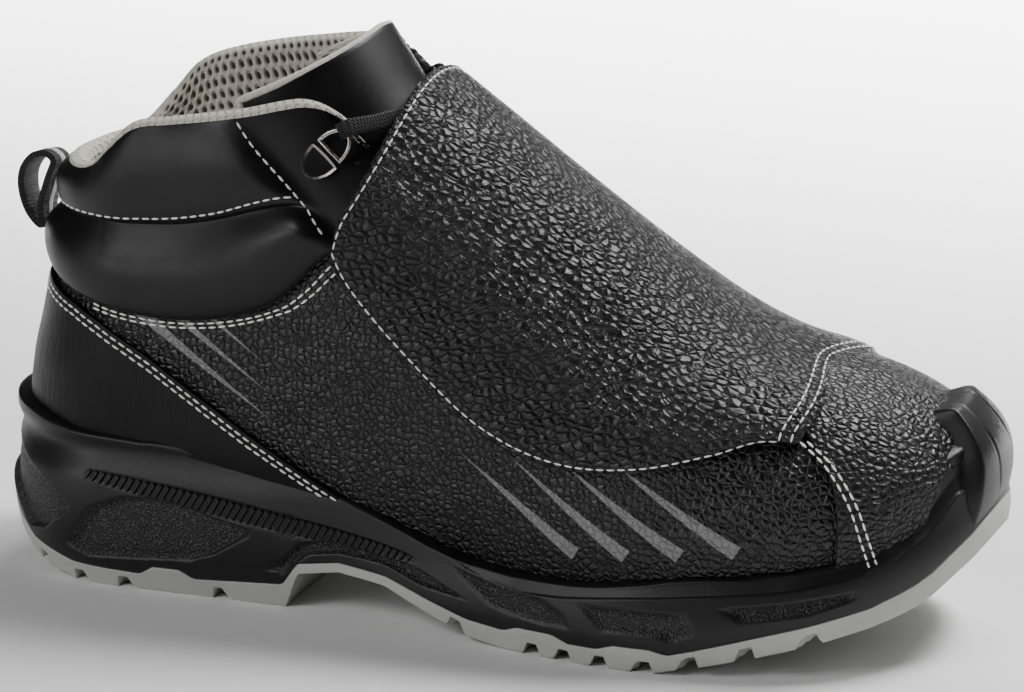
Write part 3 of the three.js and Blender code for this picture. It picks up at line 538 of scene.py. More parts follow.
def thicken(thing, wall, ease=0.0):
    """Gives a sheet its wall, inwards, with its cut edges eased."""
    solid = thing.modifiers.new("wall", "SOLIDIFY")
    solid.thickness = wall
    solid.offset = -1
    solid.use_even_offset = False
    if ease:
        bevel = thing.modifiers.new("eased edge", "BEVEL")
        bevel.width = ease
        bevel.segments = 2
        bevel.limit_method = "ANGLE"
        bevel.angle_limit = math.radians(55)


def shell(name, sheet, grid, wall, ease, surface, slot, *stands_for):
    """A piece made of one sheet with a wall."""
    thing = piece(name, sheet_mesh(sheet, *grid), surface, slot, *stands_for)
    thicken(thing, wall, ease)
    return thing


# Materials

def add(tree, kind, inputs=None, **settings):
    """A shader node; inputs name its sockets, or count them, and hold values or sockets."""
    node = tree.nodes.new("ShaderNode" + kind)
    for key, value in settings.items():
        setattr(node, key, value)
    for key, value in (inputs or {}).items():
        if isinstance(value, bpy.types.NodeSocket):
            tree.links.new(value, node.inputs[key])
        else:
            node.inputs[key].default_value = value
    return node


def math_node(tree, operation, *values):
    return add(tree, "Math", dict(enumerate(values)), operation=operation).outputs[0]


def times(tree, *values):
    return math_node(tree, "MULTIPLY", *values)


def plus(tree, *values):
    return math_node(tree, "ADD", *values)


def minus(tree, *values):
    return math_node(tree, "SUBTRACT", *values)


def noise(tree, place, scale, detail, **more):
    return add(tree, "TexNoise", {"Vector": place, "Scale": scale, "Detail": detail, **more}).outputs[0]


def split(tree, vector):
    return add(tree, "SeparateXYZ", {0: vector}).outputs


def mix_colours(tree, amount, first, second):
    return add(tree, "Mix", {0: amount, 6: first, 7: second}, data_type="RGBA").outputs[2]


def paint(tree, shader, amount, first, second):
    """A base colour between two others."""
    tree.links.new(mix_colours(tree, amount, first, second), shader.inputs["Base Color"])


def grey(value):
    return (value, value, value, 1)


def remap(tree, value, low, high, to_low=0.0, to_high=1.0):
    node = add(tree, "MapRange", {0: value, 1: low, 2: high, 3: to_low, 4: to_high})
    node.interpolation_type = "SMOOTHSTEP"
    return node.outputs[0]


def group(name, inputs, outputs):
    """An empty shader group with its sockets; returns its tree, its input node and its output node."""
    tree = bpy.data.node_groups.new(name, "ShaderNodeTree")
    kinds = {"f": "NodeSocketFloat", "v": "NodeSocketVector", "c": "NodeSocketColor"}
    for side, sockets in (("INPUT", inputs), ("OUTPUT", outputs)):
        for socket, kind in sockets.items():
            tree.interface.new_socket(socket, in_out=side, socket_type=kinds[kind])
    return tree, tree.nodes.new("NodeGroupInput"), tree.nodes.new("NodeGroupOutput")


def use(tree, made, inputs):
    """A shader group placed in a tree."""
    return add(tree, "Group", inputs, node_tree=made)


def pebble_group():
    """Tumbled leather: flat-topped pebbles parted by narrow creases, drifting in size."""
    tree, ins, outs = group(
        "pebbled leather",
        {"Place": "v", "Cells": "f", "Warp": "f"},
        {"Height": "f", "Crease": "f", "Drift": "f"},
    )
    place = ins.outputs["Place"]
    slow = add(tree, "TexNoise", {"Vector": place, "Scale": 230.0, "Detail": 2.0, "Roughness": 0.6})
    push = add(tree, "VectorMath", {0: slow.outputs["Color"], 1: (0.5, 0.5, 0.5)}, operation="SUBTRACT")
    moved = add(tree, "VectorMath", {0: push.outputs[0], "Scale": ins.outputs["Warp"]}, operation="SCALE")
    bent = add(tree, "VectorMath", {0: place, 1: moved.outputs[0]}, operation="ADD").outputs[0]
    cells = {"Vector": bent, "Scale": ins.outputs["Cells"], "Randomness": 0.8}
    edge = add(tree, "TexVoronoi", cells, feature="DISTANCE_TO_EDGE").outputs["Distance"]
    cell = add(tree, "TexVoronoi", cells)
    cells["Scale"] = times(tree, ins.outputs["Cells"], 1.9)
    small = add(tree, "TexVoronoi", cells, feature="DISTANCE_TO_EDGE").outputs["Distance"]
    rise = add(tree, "MapRange", {0: edge, 1: 0.0, 2: 0.36}).outputs[0]
    crown = math_node(tree, "POWER", rise, 0.5)
    nick = times(tree, remap(tree, small, 0.0, 0.2), 0.07)
    tilt = times(tree, cell.outputs["Distance"], -0.22)
    grain = times(tree, noise(tree, place, 2400.0, 3.0), 0.08)
    body = plus(tree, plus(tree, crown, nick), plus(tree, tilt, grain))
    tree.links.new(body, outs.inputs["Height"])
    tree.links.new(remap(tree, edge, 0.0, 0.08, 1.0, 0.0), outs.inputs["Crease"])
    tree.links.new(remap(tree, noise(tree, place, 28.0, 3.0), 0.35, 0.7), outs.inputs["Drift"])
    return tree


def weave_group():
    """Threads crossing over and under, on a piece's own lengths."""
    tree, ins, outs = group("weave", {"UV": "v", "Threads": "f"}, {"Height": "f"})
    scaled = add(
        tree, "VectorMath", {0: ins.outputs["UV"], "Scale": ins.outputs["Threads"]}, operation="SCALE")
    parts = split(tree, scaled.outputs[0])
    x, y = (math_node(tree, "SINE", times(tree, parts[k], math.tau)) for k in (0, 1))
    tree.links.new(plus(tree, times(tree, times(tree, x, y), 0.5), 0.5), outs.inputs["Height"])
    return tree


def stipple_group():
    """Fine sandy texture, as in the recesses of a moulded sole."""
    tree, ins, outs = group("stipple", {"Place": "v", "Grains": "f"}, {"Height": "f"})
    grains = add(
        tree, "TexVoronoi", {"Vector": ins.outputs["Place"], "Scale": ins.outputs["Grains"]},
        feature="SMOOTH_F1",
    )
    tree.links.new(remap(tree, grains.outputs["Distance"], 0.1, 0.7, 1.0, 0.0), outs.inputs["Height"])
    return tree


def stripe_group():
    """Tapered printed stripes, side by side: 1 on a stripe and 0 off it."""
    sockets = {"Place": "v", **dict.fromkeys("Low Pitch Count Point Reach Step Half".split(), "f")}
    tree, ins, outs = group("tapered stripes", sockets, {"Mask": "f"})
    get = ins.outputs
    slope = math.radians(STRIPE_SLOPE)
    run, rise = (
        add(tree, "VectorMath", {0: get["Place"], 1: axis}, operation="DOT_PRODUCT").outputs["Value"]
        for axis in ((math.cos(slope), 0, math.sin(slope)), (-math.sin(slope), 0, math.cos(slope))))
    turn = math_node(tree, "DIVIDE", minus(tree, rise, get["Low"]), get["Pitch"])
    number = math_node(tree, "FLOOR", turn)
    middle = math_node(tree, "ABSOLUTE", minus(tree, math_node(tree, "FRACT", turn), 0.5))
    off = times(tree, middle, get["Pitch"])
    start = plus(tree, get["Point"], times(tree, number, get["Step"]))
    share = math_node(tree, "DIVIDE", minus(tree, run, start), get["Reach"])
    half = times(tree, share, get["Half"])
    solid = remap(tree, minus(tree, half, off), 0.0, 0.25 * MM)
    tests = (("GREATER_THAN", share, 0.0), ("LESS_THAN", share, 1.0), ("GREATER_THAN", number, -0.5),
             ("LESS_THAN", number, minus(tree, get["Count"], 0.5)))
    for test in tests:
        solid = times(tree, solid, math_node(tree, *test))
    tree.links.new(solid, outs.inputs["Mask"])
    return tree


STRIPES = stripe_group()
PEBBLES = pebble_group()
WEAVE = weave_group()
STIPPLE = stipple_group()


def material(name, colour, roughness, **sockets):
    made = bpy.data.materials.new(name)
    made.use_nodes = True
    tree = made.node_tree
    shader = tree.nodes["Principled BSDF"]
    shader.inputs["Base Color"].default_value = (*colour, 1)
    shader.inputs["Roughness"].default_value = roughness
    for key, value in sockets.items():
        shader.inputs[key.replace("_", " ")].default_value = value
    return made, tree, shader


def object_place(tree):
    return add(tree, "TexCoord").outputs["Object"]


def uv_place(tree):
    return add(tree, "UVMap", uv_map="UVMap").outputs[0]


def bump(tree, shader, height, depth, strength=1.0, under=None):
    inputs = {"Strength": strength, "Distance": depth, "Height": height}
    if under is not None:
        inputs["Normal"] = under
    node = add(tree, "Bump", inputs)
    tree.links.new(node.outputs[0], shader.inputs["Normal"])
    return node.outputs[0]


def pebbled_leather(name, cells, depth, roughness=(0.33, 0.43), turned=0.0, drawn=1.0, stripes=()):
    """Black tumbled leather, its creases painted darker as shade; turned and drawn give its pebbles a run."""
    made, tree, shader = material(name, (0.005, 0.005, 0.0055), 0.4, Specular_IOR_Level=0.46)
    run = add(tree, "Mapping", {
        "Vector": object_place(tree), "Rotation": (0, math.radians(turned), 0), "Scale": (1 / drawn, 1, 1)})
    grain = use(tree, PEBBLES, {"Place": run.outputs[0], "Cells": cells, "Warp": 1.7 * MM})
    # The creases are painted darker than the pebbles' tops: painted shade in the valleys.
    base = mix_colours(tree, grain.outputs["Crease"], (0.0012, 0.0012, 0.0014, 1), grey(0.0003))
    for bars in stripes:
        mask = use(tree, STRIPES, {"Place": object_place(tree), **bars}).outputs[0]
        base = mix_colours(tree, mask, base, (0.16, 0.16, 0.163, 1))
    tree.links.new(base, shader.inputs["Base Color"])
    rough = remap(tree, grain.outputs["Drift"], 0.0, 1.0, *roughness)
    dull = times(tree, grain.outputs["Crease"], 0.45)
    tree.links.new(plus(tree, rough, dull), shader.inputs["Roughness"])
    bump(tree, shader, grain.outputs["Height"], depth)
    return made


def smooth_leather(name, roughness, shine, streaks=0.0):
    """Black smooth leather with a fine pore and, on the counter, fine upright creases."""
    made, tree, shader = material(name, (0.0016, 0.0016, 0.0019), roughness, Specular_IOR_Level=shine)
    place = object_place(tree)
    drift = noise(tree, place, 40.0, 4.0)
    tree.links.new(
        remap(tree, drift, 0.3, 0.75, roughness - 0.05, roughness + 0.1), shader.inputs["Roughness"])
    under = bump(tree, shader, noise(tree, place, 2200.0, 4.0, Roughness=0.6), 0.06 * MM)
    if streaks:
        tall = add(tree, "Mapping", {"Vector": place, "Scale": (900.0, 900.0, 70.0)})
        bump(tree, shader, noise(tree, tall.outputs[0], 1.0, 3.0, Distortion=0.6), streaks, under=under)
    return made


def midsole_rubber():
    made, tree, shader = material("midsole foam", (0.005, 0.005, 0.0053), 0.5, Specular_IOR_Level=0.34)
    place = object_place(tree)
    sunk = add(tree, "Attribute", attribute_name="sunk").outputs["Fac"]
    sand = use(tree, STIPPLE, {"Place": place, "Grains": 1700.0})
    skin = noise(tree, place, 900.0, 4.0)
    height = plus(tree, times(tree, sand.outputs[0], sunk), times(tree, skin, 0.15))
    # The sand grains in the recesses get bright specks: the grain, with painted glints on it.
    grain_glints = times(tree, remap(tree, sand.outputs[0], 0.45, 0.95), sunk)
    ground = mix_colours(tree, sunk, (0.005, 0.005, 0.0053, 1), (0.016, 0.016, 0.0164, 1))
    paint(tree, shader, grain_glints, ground, (0.075, 0.075, 0.077, 1))
    bump(tree, shader, height, 0.45 * MM)
    tree.links.new(remap(tree, sunk, 0.0, 1.0, 0.42, 0.55), shader.inputs["Roughness"])
    return made


def outsole_rubber():
    made, tree, shader = material("outsole rubber", (0.25, 0.25, 0.245), 0.62)
    place = object_place(tree)
    paint(tree, shader, noise(tree, place, 60.0, 5.0), (0.34, 0.34, 0.33, 1), (0.46, 0.46, 0.448, 1))
    bump(tree, shader, noise(tree, place, 1400.0, 4.0), 0.08 * MM)
    return made


BEIGE = (0.36, 0.325, 0.275, 1), (0.66, 0.62, 0.55, 1)


def mesh_lining():
    """Beige spacer mesh: knitted yarn round staggered holes, painted dark as the shade inside them."""
    made, tree, shader = material("mesh lining", (0.5, 0.46, 0.4), 0.9, Sheen_Weight=0.2)
    uv = uv_place(tree)
    across, down, hole_half = 4.2 * MM, 2.5 * MM, (0.95 * MM, 0.7 * MM)
    holes = []
    for shift in (0.0, 0.5):
        tiles = add(tree, "Mapping", {
            "Vector": uv, "Scale": (1 / across, 1 / (2 * down), 1), "Location": (shift, shift, 0)})
        parts = split(tree, tiles.outputs[0])
        off = [
            math_node(tree, "POWER", times(tree, minus(tree, math_node(tree, "FRACT", part), 0.5), size), 2.0)
            for part, size in zip(parts, (across / hole_half[0], 2 * down / hole_half[1]))]
        holes.append(plus(tree, *off))
    nearest = math_node(tree, "MINIMUM", *holes)
    inside = remap(tree, split(tree, uv)[1], 5.0 * MM, 7.5 * MM)
    bare = add(tree, "Attribute", attribute_name="bare").outputs["Fac"]
    closed = math_node(tree, "MAXIMUM", bare, minus(tree, 1.0, inside))
    wall = math_node(tree, "MAXIMUM", remap(tree, nearest, 0.6, 1.5), closed)
    yarn = use(tree, WEAVE, {"UV": uv, "Threads": 1100.0})
    cloth = mix_colours(tree, noise(tree, uv, 900.0, 3.0), *BEIGE)
    # The holes are painted dark brown: painted shade inside the holes, which are only bumped into the cloth.
    paint(tree, shader, wall, (0.03, 0.02, 0.015, 1), cloth)
    rounded = remap(tree, nearest, 0.5, 3.5)
    height = plus(tree, rounded, times(tree, yarn.outputs[0], 0.12))
    bump(tree, shader, height, 0.6 * MM)
    return made


def piping_cloth():
    made, tree, shader = material("beige edge", (0.5, 0.46, 0.4), 0.9, Sheen_Weight=0.2)
    tint = noise(tree, object_place(tree), 900.0, 3.0)
    paint(tree, shader, tint, *BEIGE)
    bump(tree, shader, tint, 0.3 * MM)
    return made


def webbing(name, ribs):
    """Black woven tape, ribbed across its length."""
    made, tree, shader = material(name, (0.006, 0.006, 0.0065), 0.7, Specular_IOR_Level=0.35)
    uv = uv_place(tree)
    rib = math_node(tree, "SINE", times(tree, split(tree, uv)[0], ribs * math.tau))
    yarn = use(tree, WEAVE, {"UV": uv, "Threads": ribs})
    height = plus(tree, times(tree, rib, 0.5), yarn.outputs[0])
    # The weave's low parts are painted darker than its tops: painted shade between the ribs and threads.
    paint(tree, shader, remap(tree, height, -0.3, 1.3), grey(0.002), (0.014, 0.014, 0.015, 1))
    bump(tree, shader, height, 0.35 * MM)
    return made


def reflective_tape():
    made, tree, shader = material("reflective tape", (0.3, 0.3, 0.31), 0.45)
    beads = add(tree, "TexVoronoi", {"Vector": object_place(tree), "Scale": 2600.0}).outputs["Distance"]
    paint(tree, shader, beads, (0.42, 0.42, 0.43, 1), (0.2, 0.2, 0.205, 1))
    bump(tree, shader, beads, 0.15 * MM)
    return made


def thread_material():
    made, tree, shader = material("white thread", (0.8, 0.79, 0.77), 0.6, Sheen_Weight=0.2)
    bump(tree, shader, noise(tree, object_place(tree), 2500.0, 2.0), 0.12 * MM)
    return made


def ring_metal():
    made, tree, shader = material("dark plated metal", (0.32, 0.3, 0.29), 0.22, Metallic=1.0)
    worn = noise(tree, object_place(tree), 500.0, 4.0)
    tree.links.new(remap(tree, worn, 0.3, 0.7, 0.16, 0.34), shader.inputs["Roughness"])
    return made


def plain_cloth():
    made, tree, shader = material("insole cloth", (0.03, 0.03, 0.031), 0.9, Sheen_Weight=0.2)
    woven = use(tree, WEAVE, {"UV": uv_place(tree), "Threads": 900.0})
    # The weave's low parts are painted darker than its tops: painted shade between the threads.
    paint(tree, shader, woven.outputs[0], (0.02, 0.02, 0.021, 1), (0.05, 0.05, 0.052, 1))
    bump(tree, shader, woven.outputs[0], 0.25 * MM)
    return made


# Two sets of printed stripes on the quarters, in metres on the row's frame
REAR_STRIPES = {"Low": 14.5 * MM, "Pitch": 6.5 * MM, "Count": 3.0, "Point": -74 * MM, "Reach": -90 * MM,
                "Step": -6 * MM, "Half": 3.0 * MM}
FRONT_STRIPES = {"Low": 44 * MM, "Pitch": 10 * MM, "Count": 4.0, "Point": -28 * MM, "Reach": 46 * MM,
                 "Step": 12.3 * MM, "Half": 2.4 * MM}
UPPER_LEATHER = pebbled_leather("quarter leather", 470.0, 0.42 * MM, stripes=(REAR_STRIPES, FRONT_STRIPES))
CAP_LEATHER = pebbled_leather("cap leather", 500.0, 0.4 * MM, turned=20, drawn=1.3)
GUARD_LEATHER = pebbled_leather("guard leather", 430.0, 0.72 * MM, (0.36, 0.46), turned=12, drawn=1.45)
COUNTER_LEATHER = smooth_leather("counter leather", 0.44, 0.2, streaks=0.22 * MM)
CUFF_LEATHER = smooth_leather("cuff leather", 0.38, 0.3)
MIDSOLE = midsole_rubber()
OUTSOLE = outsole_rubber()
LINING = mesh_lining()
PIPING = piping_cloth()
THREAD = thread_material()
METAL = ring_metal()
LACE = webbing("lace braid", 950.0)
TAPE = webbing("loop webbing", 800.0)
REFLECTIVE = reflective_tape()
INSOLE_CLOTH = plain_cloth()


# The sole

def sole_share(turn):
    return (1 - np.cos(2 * np.pi * turn)) / 2


def sole_edge(turn, z_of, inwards=0.0):
    """Points of the sole's side wall at the heights that z_of gives for x."""
    share = sole_share(turn)
    side = np.where(turn % 1 < 0.5, -1.0, 1.0)
    fore = smoothstep(share, 0.3, 0.52)
    x = lerp(-HEEL_SPUR, SOLE_LENGTH, share)
    for _ in range(3):
        z = z_of(x)
        height = (z - lift(x)) / RIM_HEIGHT
        inset = lerp(along(SOLE_WALL, "heel", height), along(SOLE_WALL, "fore", height), fore) * MM
        x = lerp(inset - HEEL_SPUR, SOLE_LENGTH - inset, share)
    inset = inset + inwards
    x = lerp(inset - HEEL_SPUR, SOLE_LENGTH - inset, share)
    length = SOLE_LENGTH + HEEL_SPUR
    ends = end_round(share * length, HEEL_ROUND) * end_round((1 - share) * length, TOE_ROUND)
    half = (along(PLAN, "half", share) * HALF_WIDTH - inset) * ends
    return np.stack([x, bend(x) + side * half, z], -1)


def band_depth(x, z):
    """1 in the shallow band that carries the ribs."""
    share = (x / SOLE_LENGTH - RIB_BAND["start"]) / (RIB_BAND["end"] - RIB_BAND["start"])
    middle = lerp(RIB_BAND["start_z"], RIB_BAND["end_z"], share) * RIM_HEIGHT
    arch = np.sqrt(np.clip(np.sin(np.pi * lerp(0.06, 0.96, np.clip(share, 0, 1))), 0, 1))
    half = RIB_BAND["height"] * RIM_HEIGHT * 0.55 * arch
    ends = smoothstep(share, -0.02, 0.02) * smoothstep(1 - share, -0.02, 0.02)
    return smoothstep(half - np.abs(z - middle), -0.3 * MM, 0.5 * MM) * ends


def ledge_depth(x, z):
    """How far the rim's face leans in over the forefoot's ledge, in metres."""
    ledge = np.interp(x / SOLE_LENGTH, LEDGE["at"], LEDGE["z"]) * RIM_HEIGHT
    over = np.clip((z - ledge) / (4 * MM), 0, 1)
    lean = 0.28 * smoothstep(z - ledge, -0.2 * MM, 0.5 * MM) + 0.72 * over
    return LEDGE_LEAN * lean * smoothstep(x / SOLE_LENGTH, 0.44, 0.54)


def window_depth(x, z):
    """0 outside the sole's recesses and 1 on their floors, soft over their edges."""
    deep = np.zeros_like(x)
    for outline in WINDOWS:
        corners = np.array(outline) * (SOLE_LENGTH, RIM_HEIGHT)
        nearest = np.full(x.shape, 1.0)
        inside = np.zeros(x.shape, bool)
        for a, b in zip(corners, np.roll(corners, -1, axis=0)):
            run = b - a
            t = np.clip(((x - a[0]) * run[0] + (z - a[1]) * run[1]) / (run @ run), 0, 1)
            gap = np.hypot(x - a[0] - t * run[0], z - a[1] - t * run[1])
            nearest = np.minimum(nearest, gap)
            crosses = ((a[1] > z) != (b[1] > z)) & (
                x < a[0] + (z - a[1]) / np.where(abs(run[1]) < 1e-9, 1e-9, run[1]) * run[0])
            inside ^= crosses
        signed = np.where(inside, nearest, -nearest)
        soft = 1.1 * MM if corners[:, 0].mean() < 0.5 * SOLE_LENGTH else 3.0 * MM
        deep = np.maximum(deep, smoothstep(signed, -0.2 * MM, soft))
    return deep


def sole_inner_share(turn):
    top = sole_edge(turn, side_line("rim"))[..., 2]
    return solve_share(turn, lambda p: p[..., 2] >= top, 0.6)


INNER_AT = tabled(sole_inner_share)
WALL_END, LIP_END, INNER_END = 0.74, 0.86, 0.95
LIP_ROUND = 1.2 * MM


def midsole_place(s, t):
    """Round the midsole by s; t goes up its side, over its lip, down inside and back."""
    t = t % 1.0
    wall_t = share_of(t, 0, WALL_END)

    def height(x):
        return lerp(side_line("seam")(x), side_line("rim", -LIP_ROUND)(x), wall_t)

    outer = sole_edge(s, height)
    sunk = window_depth(outer[..., 0], outer[..., 2])
    sunk = np.maximum(sunk, 0.35 * band_depth(outer[..., 0], outer[..., 2]))
    outer = sole_edge(s, height, sunk * WINDOW_DEPTH + ledge_depth(outer[..., 0], outer[..., 2]))
    inner_h = INNER_AT(s)
    inner = last_point(s, inner_h, CLEARANCE)
    lip_t = share_of(t, WALL_END, LIP_END) * np.pi / 2
    lip = lerp(outer, inner, (1 - np.cos(lip_t))[..., None])
    lip[..., 2] = outer[..., 2] + (inner[..., 2] - outer[..., 2]) * np.sin(lip_t)
    down = last_point(s, inner_h * (1 - share_of(t, LIP_END, INNER_END)), CLEARANCE)
    spot = lerp(down, sole_edge(s, side_line("seam")), share_of(t, INNER_END, 1)[..., None])
    for end, part in ((INNER_END, down), (LIP_END, lip), (WALL_END, outer)):
        spot = np.where(t[..., None] <= end, part, spot)
    return spot


def make_midsole():
    bm = sheet_mesh(Sheet(midsole_place, around=True), 640, 96)
    thing = piece("midsole_moulding", bm, MIDSOLE, "midsole_foam", "midsole")
    points = spots(thing)
    mark(thing, "sunk", window_depth(points[:, 0], points[:, 2]))


def groove_depth(x, y):
    """How deep the tread is cut at a place, as a share of its grooves' depth."""
    deep = np.zeros_like(x)
    for at in GROOVES:
        from_middle = y - bend(np.full_like(y, at * SOLE_LENGTH))
        off = (x - at * SOLE_LENGTH + np.abs(from_middle) * math.tan(GROOVE_SKEW)) * math.cos(GROOVE_SKEW)
        side = smoothstep(GROOVE_WIDTH / 2 + 0.4 * MM - np.abs(off), 0, 0.9 * MM)
        ends = smoothstep(np.abs(from_middle) - 0.1 * HALF_WIDTH, 0, 1.2 * MM)
        deep = np.maximum(deep, side * ends)
    return deep


EDGE_END = 0.24


def outsole_place(s, t):
    """Round the outsole by s; t goes from its middle line out under it and up its side."""
    under = np.clip((1 - EDGE_END - t) / (1 - EDGE_END), 0, 1)
    foot = sole_edge(s, side_line("tread"))
    middle = foot.copy()
    middle[..., 1] = bend(foot[..., 0])
    ground = lerp(foot, middle, under[..., None])
    ground[..., 2] += groove_depth(ground[..., 0], ground[..., 1]) * TREAD_DEPTH
    wall_t = np.clip((t - 1 + EDGE_END) / EDGE_END, 0, 1)
    cut = groove_depth(foot[..., 0], foot[..., 1]) * TREAD_DEPTH

    def height(x):
        low, high = side_line("tread")(x), side_line("seam", -CLEARANCE)(x)
        return lerp(np.minimum(low + cut, high - 0.4 * MM), high, wall_t)

    return np.where(wall_t[..., None] > 0, sole_edge(s, height), ground)


def make_outsole():
    sheet = Sheet(outsole_place, around=True)
    shell("outsole_tread", sheet, (640, 62), TREAD_WALL, 0.0, OUTSOLE, "outsole_rubber", "outsole")


def make_bumper():
    """The raised guard at the tip of the toe: a shield with steep flanks and two moulded creases."""
    def place(s, t):
        across = (s - 0.5) * 2
        half = BUMPER["half_turn"] * (1 - BUMPER["taper"] * t)
        return last_base(BUMPER["turn"] + across * half, lerp(BUMPER["low"], BUMPER["high"], t))

    def relief(s, t):
        across = np.abs(s - 0.5) * 2
        flank = smoothstep(1 - across, 0.0, 0.2)
        top = smoothstep(1 - t, 0.0, 0.16)
        dish = 1 - 0.12 * np.exp(-(((s - 0.5) / 0.3) ** 2))
        creases = sum(
            np.exp(-(((s - at - lean * (t - 0.5)) / 0.012) ** 2)) * smoothstep(t, low, low + 0.15)
            for at, lean, low in ((0.3, -0.1, 0.15), (0.66, 0.12, 0.4)))
        return OVERLAY - 0.6 * MM + (BUMPER_WALL + 1.9 * MM) * flank * top * dish - 0.45 * MM * creases

    thing = shell("toe_bumper", Sheet(place, relief), (90, 70), 1.0 * MM, 0.0, MIDSOLE, "midsole_foam")
    mark(thing, "sunk", np.zeros(len(thing.data.vertices)))


def wall_spot(side, x, z):
    """A place on the sole's side wall, with its directions along, up and out."""
    turns = np.linspace(0.002, 0.498, 900)
    turns = turns if side > 0 else 1 - turns

    def spot(x, z):
        edge = sole_edge(turns, lambda at: np.full_like(at, z))
        return np.array([np.interp(x, edge[:, 0], column) for column in edge.T])

    at = spot(x, z)
    ahead = unit(spot(x + 1 * MM, z) - at)
    out = unit(np.cross(ahead, spot(x, z + 1 * MM) - at)) * side
    return at, ahead, np.cross(out, ahead) * side, out


def make_ribs():
    """The band of slanted moulded ribs on each side of the heel."""
    lean = Matrix.Rotation(math.radians(RIB["lean"]), 4, "Y")
    for key, side in SIDES:
        bm = bmesh.new()
        for share in np.arange(RIB["count"]) / (RIB["count"] - 1):
            x = lerp(RIB_BAND["start"], RIB_BAND["end"], share) * SOLE_LENGTH
            z = lerp(RIB_BAND["start_z"], RIB_BAND["end_z"], share) * RIM_HEIGHT
            at, ahead, up, out = wall_spot(side, x, z)
            long = RIB_BAND["height"] * RIM_HEIGHT * float(np.sin(np.pi * lerp(0.1, 0.93, share)) ** 0.5)
            turned = Matrix((ahead, -out, up)).transposed().to_4x4()
            size = Matrix.Diagonal((RIB["width"], RIB["depth"], long, 1))
            where = Matrix.Translation(Vector(at - out * RIB["sunk"] + ORIGIN)) @ turned @ lean @ size
            bmesh.ops.create_cube(bm, size=1, matrix=where)
        bmesh.ops.bevel(
            bm, geom=bm.edges[:], offset=RIB["ease"], segments=1, profile=0.5, affect="EDGES", material=-1)
        bmesh.ops.recalc_face_normals(bm, faces=bm.faces[:])
        thing = piece(f"side_ribs_{key}", bm, MIDSOLE, "midsole_foam", smooth=False)
        mark(thing, "sunk", np.zeros(len(thing.data.vertices)))


def make_insole():
    def place(s, t):
        edge = last_point(s, np.zeros_like(t), INNER_FACE)
        middle = edge.copy()
        middle[..., 1] = bend(edge[..., 0])
        spot = lerp(edge, middle, t[..., None])
        spot[..., 2] = bed(spot[..., 0]) + INSOLE_WALL
        return spot

    sheet = Sheet(place, around=True)
    shell("footbed", sheet, (160, 16), INSOLE_WALL, 0.0, INSOLE_CLOTH, "insole_cloth", "insole")


# The upper

def throat_share(u):
    """Where meridian u runs into the throat, or 1."""
    heights = np.linspace(0.3, 1.0, 141)
    p = last_base(u[:, None], heights[None, :])
    at = p[..., 0] / SOLE_LENGTH
    half = np.interp(at, THROAT["at"], THROAT["half"]) * HALF_WIDTH
    room = np.minimum(half - np.abs(p[..., 1]), (THROAT["at"][-1] - at) * SOLE_LENGTH)
    room = np.minimum(room, (at - THROAT["at"][0]) * SOLE_LENGTH)
    inside = room > 0
    first = np.where(inside.any(1), inside.argmax(1), len(heights) - 1)
    before = np.maximum(first - 1, 0)
    rows = np.arange(len(u))
    a, b = room[rows, before], room[rows, first]
    t = np.clip(-a / np.where(np.abs(b - a) < 1e-12, 1, b - a), 0, 1)
    return np.where(inside.any(1), lerp(heights[before], heights[first], t), 1.0)


TOP_AT = tabled(lambda u: np.minimum(rim_share(u), throat_share(u)), 1440)


def make_upper():
    def place(s, t):
        return last_base(s, TOP_AT(s) * t)

    shell("leather_upper", Sheet(place, around=True), (280, 72), WALL, 0.0, UPPER_LEATHER,
          "upper_leather", "upper")


def overlay(name, turns, seam, grid, surface, slot, node):
    """A leather overlay on the last between two turns, from the sole's rim up to its seam."""
    def place(s, t):
        u = lerp(*turns, s)
        low = SOLE_AT(u)
        return last_base(u, lerp(low, np.maximum(seam(u), low), t))

    sheet = Sheet(place, lambda s, t: OVERLAY_FACE)
    shell(name, sheet, grid, OVERLAY, CUT_EASE, surface, slot, node)
    return sheet


def make_toe_cap():
    turns = np.linspace(0.3, 0.5, 400)
    start = turns[np.argmax(cap_share(turns) > sole_rim_share(turns))]
    return overlay("toe_cap_leather", (start, 1 - start), CAP_AT, (200, 66), CAP_LEATHER,
                   "upper_leather", "toe_cap")


def make_counter():
    turns = np.linspace(0.0, 0.35, 400)
    end = turns[np.argmax(counter_share(turns) - sole_rim_share(turns) < 0.004)]
    return overlay("heel_counter_leather", (-end, end), COUNTER_AT, (240, 48), COUNTER_LEATHER,
                   "smooth_leather", "heel_counter")


def cuff_swell(u, h, foot, seam, rim):
    """How far the collar's padding stands out: two rolls with a sewn groove between."""
    p, end = last_base(u, h), PADDING_END
    down = (end["top_z"] - p[..., 2] / COLLAR_HEIGHT) / (end["top_z"] - end["low_z"])
    ahead = p[..., 0] / SOLE_LENGTH - lerp(end["top_x"], end["low_x"], down)
    below = h < seam
    share = np.where(below, share_of(h, foot, seam), share_of(h, seam, rim))
    sharp = np.where(below, lerp(0.65, 1.1, share), lerp(0.42, 0.65, share))
    roll = np.sin(np.pi * share) ** sharp * np.where(below, 1.0, 0.8)
    return OVERLAY + (PADDING - OVERLAY) * roll * (1 - smoothstep(ahead, -0.04, 0.002))


def cuff_front_turn(h):
    """The turn at which the facing ends in front."""
    return turn_at(lerp(0.392, 0.408, smoothstep(h, 0.6, 0.9)) * SOLE_LENGTH, h)


